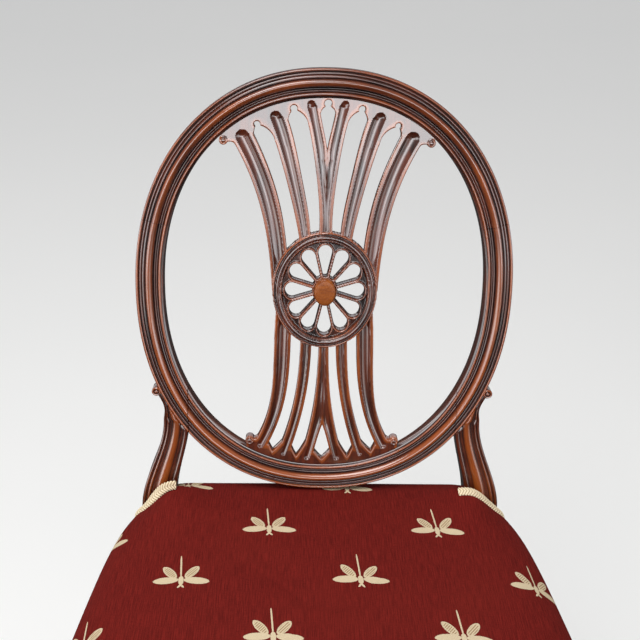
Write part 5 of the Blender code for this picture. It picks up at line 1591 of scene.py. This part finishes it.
STRAP_STATIONS = 160
SELVEDGE_WIDTH_POWER = 0.5
SELVEDGE_DEPTH_POWER = 0.35
SHEET_SCALES = np.linspace(1, 0.04, 16)
DUST_COVER_SAG = 0.004
DUST_COVER_STEP = 0.012


def strap_path(ends, rails, crossings, over):
    """Places along a strap as (distance, height), over and under the others."""
    places = [(ends[0], STRAP_LOW), (rails[0], STRAP_LOW)]
    half = STRAP_WIDTH / 2
    for k, crossing in enumerate(crossings):
        level = STRAP_HIGH if (k + over) % 2 else STRAP_LOW
        places += [(crossing - half, level), (crossing + half, level)]
    places += [(rails[1], STRAP_LOW), (ends[1], STRAP_LOW)]
    distance = np.linspace(*ends, STRAP_STATIONS)
    return distance, np.interp(distance, *zip(*places))


def make_strap(name, points, across, node):
    """A woven strap with rounded selvedges."""
    turn = full_turn(28)
    wide = signed_power(np.cos(turn), SELVEDGE_WIDTH_POWER) * STRAP_WIDTH / 2
    thick = signed_power(np.sin(turn), SELVEDGE_DEPTH_POWER) * STRAP_THICKNESS / 2
    rings = points[:, None] + wide[:, None] * across + thick[:, None] * UPWARDS
    skin = sweep(rings)
    mapped = np.broadcast_arrays(run_length(points, 0)[:, None], wide)
    skin.places = np.stack(mapped, axis=-1).reshape(-1, 2)
    make_piece(name, [skin], JUTE, [node], CLOTH_MAP)


def make_webbing():
    shifts = [(k - (STRAP_COUNT - 1) / 2) * STRAP_PITCH for k in range(STRAP_COUNT)]
    rows = [(REAR_RAIL_FRONT + FRONT_RAIL_BACK) / 2 + shift for shift in shifts]
    rails = (FRONT_RAIL_BACK, REAR_RAIL_FRONT)
    ends = (rails[0] - STRAP_LAP, rails[1] + STRAP_LAP)
    for k, x in enumerate(shifts):
        y, z = strap_path(ends, rails, rows, k)
        points = np.column_stack((np.full(len(y), x), y, z))
        make_strap(f"strap_long_{k + 1}", points, np.array((1.0, 0.0, 0.0)), f"webbing_long_{k + 1}")
    for k, y in enumerate(rows):
        half = float(side_line(y)) - RAIL_THICKNESS
        x, z = strap_path((-half - STRAP_LAP, half + STRAP_LAP), (-half, half), shifts, k + 1)
        points = np.column_stack((x, np.full(len(x), y), z))
        make_strap(f"strap_cross_{k + 1}", points, np.array((0.0, 1.0, 0.0)), f"webbing_cross_{k + 1}")


def spread_outline(corners, step):
    """Points along a closed outline, about one step apart."""
    points = []
    for first, second in zip(corners, np.roll(corners, -1, axis=0)):
        count = max(1, int(np.linalg.norm(second - first) / step))
        points += [first + (second - first) * k / count for k in range(count)]
    return np.array(points)


def make_sheet(name, plan, bottom, thickness, sag, material, node):
    """A thin cloth sheet of two faces, which may sag between its edges."""
    middle = plan.mean(axis=0)
    rings = []
    for face, order in ((0.0, SHEET_SCALES), (thickness, SHEET_SCALES[::-1])):
        for scale in order:
            z = np.full(len(plan), bottom + face - sag * (1 - scale**2))
            rings.append(np.column_stack((middle + (plan - middle) * scale, z)))
    count, last = len(plan), len(SHEET_SCALES) - 1
    faces = grid_faces(len(rings), count, closed=True)
    faces = faces[: last * count] + faces[(last + 1) * count :]
    faces += [list(range(k * count, (k + 1) * count)) for k in (last, last + 1)]
    skin = Skin(rings, faces, np.array(rings)[..., :2])
    piece = make_piece(name, [skin], material, [node], CLOTH_MAP)


def make_linings():
    """The hessian over the webbing and the black dust cover under the rails."""
    plan, _ = cover_outline(-COVER_SKIN - HESSIAN_SET, 0.0)
    make_sheet("hessian_lining", plan, HESSIAN_BOTTOM, HESSIAN_THICKNESS, 0.0, HESSIAN,
               "hessian_sheet")
    rear, front = REAR_RAIL_BACK - DUST_COVER_SET, FRONT_Y + DUST_COVER_SET
    rear_x, front_x = REAR_LEG_INNER - DUST_COVER_SET, FRONT_LEG_INNER - DUST_COVER_SET
    rear_y, front_y = REAR_LEG_Y - DUST_COVER_SET, FRONT_LEG_BACK + DUST_COVER_SET
    half = [(rear_x, rear), (rear_x, rear_y), (side_line(rear_y) - DUST_COVER_SET, rear_y),
            (side_line(front_y) - DUST_COVER_SET, front_y), (front_x, front_y), (front_x, front)]
    plan = spread_outline(np.array(half + [(-x, y) for x, y in reversed(half)]), DUST_COVER_STEP)
    bottom = RAIL_BOTTOM - FIT_GAP - DUST_COVER_THICKNESS
    make_sheet("black_lining", plan, bottom, DUST_COVER_THICKNESS, DUST_COVER_SAG, CAMBRIC,
               "dust_cover")


def finish_frame_nodes():
    """Wood and steel for the nodes of the frame that stay as they are."""
    finishes = {"beech": BEECH, "steel": STEEL}
    for row in frame["record"]["subparts"]:
        if row["material_slot"] in finishes:
            node = frame["nodes"][row["node"]]
            node.data.materials.clear()
            node.data.materials.append(finishes[row["material_slot"]])


# Light, floor and camera

# Soft lights as (location, target, size, watts)
LIGHTS = {
    "top_softbox": ((-0.5, -0.3, 2.6), (0.0, 0.0, 0.5), (1.5, 1.3), 44.0),
    "front_strip": ((0.0, -2.6, 1.45), (0.0, 0.2, 0.9), (2.6, 0.5), 14.0),
    "right_panel": ((1.75, -1.15, 0.85), (0.0, 0.2, 0.7), (0.8, 1.5), 5.0),
    "left_panel": ((-1.75, -1.15, 0.85), (0.0, 0.2, 0.7), (0.9, 1.5), 8.0),
}
FILL = 0.36
FILL_TINT = colour(0.94, 0.96, 1.0)
BACKDROP = 0.78
# The sky in reflections as (height, share of its strength): bright over the horizon, dimmer overhead
SKY = ((0.0, 0.03), (0.04, 0.15), (0.13, 0.95), (0.28, 1.0), (0.50, 0.18), (1.0, 0.10))
# Its strength falls from ahead of the chair to behind it, as (from y, to y, first, last)
SKY_FADE = (-0.1, 0.6, 4.0, 1.2)
SIDE_LIFT = 0.42
FLOOR_HALF = 20.0
# The camera stands in front of the oval and above it, and looks down on the seat
CAMERA_FROM_OVAL = (-0.03584, -0.98837, 0.55725)
CAMERA_TURN = (58.9975, -1.2984, -1.0208)
CAMERA_LENS = 56.25
CAMERA_SENSOR = 36.0


def make_lights():
    for name, (location, target, size, power) in LIGHTS.items():
        data = bpy.data.lights.new(name, "AREA")
        data.shape = "RECTANGLE"
        data.size, data.size_y = size
        data.energy = power
        light = add_object(name, data)
        light.location = location
        light.rotation_euler = (Vector(target) - Vector(location)).to_track_quat("-Z", "Y").to_euler()


def make_world():
    """Even fill light and a plain backdrop. Reflections see a bright sky over a dark horizon."""
    world = bpy.data.worlds.new("studio")
    bpy.context.scene.world = world
    world.use_nodes = True
    g = Nodes(world.node_tree)
    x, y, z = g.parts(g.add("TexCoord").outputs["Generated"])
    sky = g.add("FloatCurve", {"Value": g.scaled(g.math("MULTIPLY", x, x), SIDE_LIFT, z)})
    curve = sky.mapping.curves[0]
    curve.points[0].location, curve.points[-1].location = SKY[0], SKY[-1]
    for place in SKY[1:-1]:
        curve.points.new(*place)
    sky.mapping.update()
    reflected = g.math("MULTIPLY", sky.outputs[0], g.ramp(y, *SKY_FADE))
    path = g.add("LightPath").outputs
    plain = g.ramp(path["Is Camera Ray"], first=FILL, last=BACKDROP)
    background = g.tree.nodes["Background"]
    g.feed(background.inputs["Color"], FILL_TINT)
    g.feed(background.inputs["Strength"], g.ramp(path["Is Glossy Ray"], first=plain, last=reflected))


def make_floor():
    mesh = bpy.data.meshes.new("studio_floor")
    corners = [(x * FLOOR_HALF, y * FLOOR_HALF, 0.0) for x, y in ((-1, -1), (1, -1), (1, 1), (-1, 1))]
    mesh.from_pydata(corners, [], [(0, 1, 2, 3)])
    mesh.materials.append(floor_finish())
    floor = add_object("studio_floor", mesh)


def make_camera():
    data = bpy.data.cameras.new("camera")
    data.lens, data.sensor_width = CAMERA_LENS, CAMERA_SENSOR
    camera = add_object("camera", data)
    camera.location = Vector((0, BACK_Y, BACK_Z)) + Vector(CAMERA_FROM_OVAL)
    camera.rotation_euler = [math.radians(a) for a in CAMERA_TURN]
    bpy.context.scene.camera = camera


make_camera()
make_world()
make_floor()
make_lights()
bpy.context.scene.view_settings.view_transform = "Standard"
make_crest_rail()
make_lower_rail()
make_splat()
make_boss()
for chair_side in (-1, 1):
    make_rear_leg(chair_side)
    make_front_leg(chair_side)
    make_leg_braid(chair_side)
make_border_braids()
make_webbing()
make_linings()
make_seat()
finish_frame_nodes()
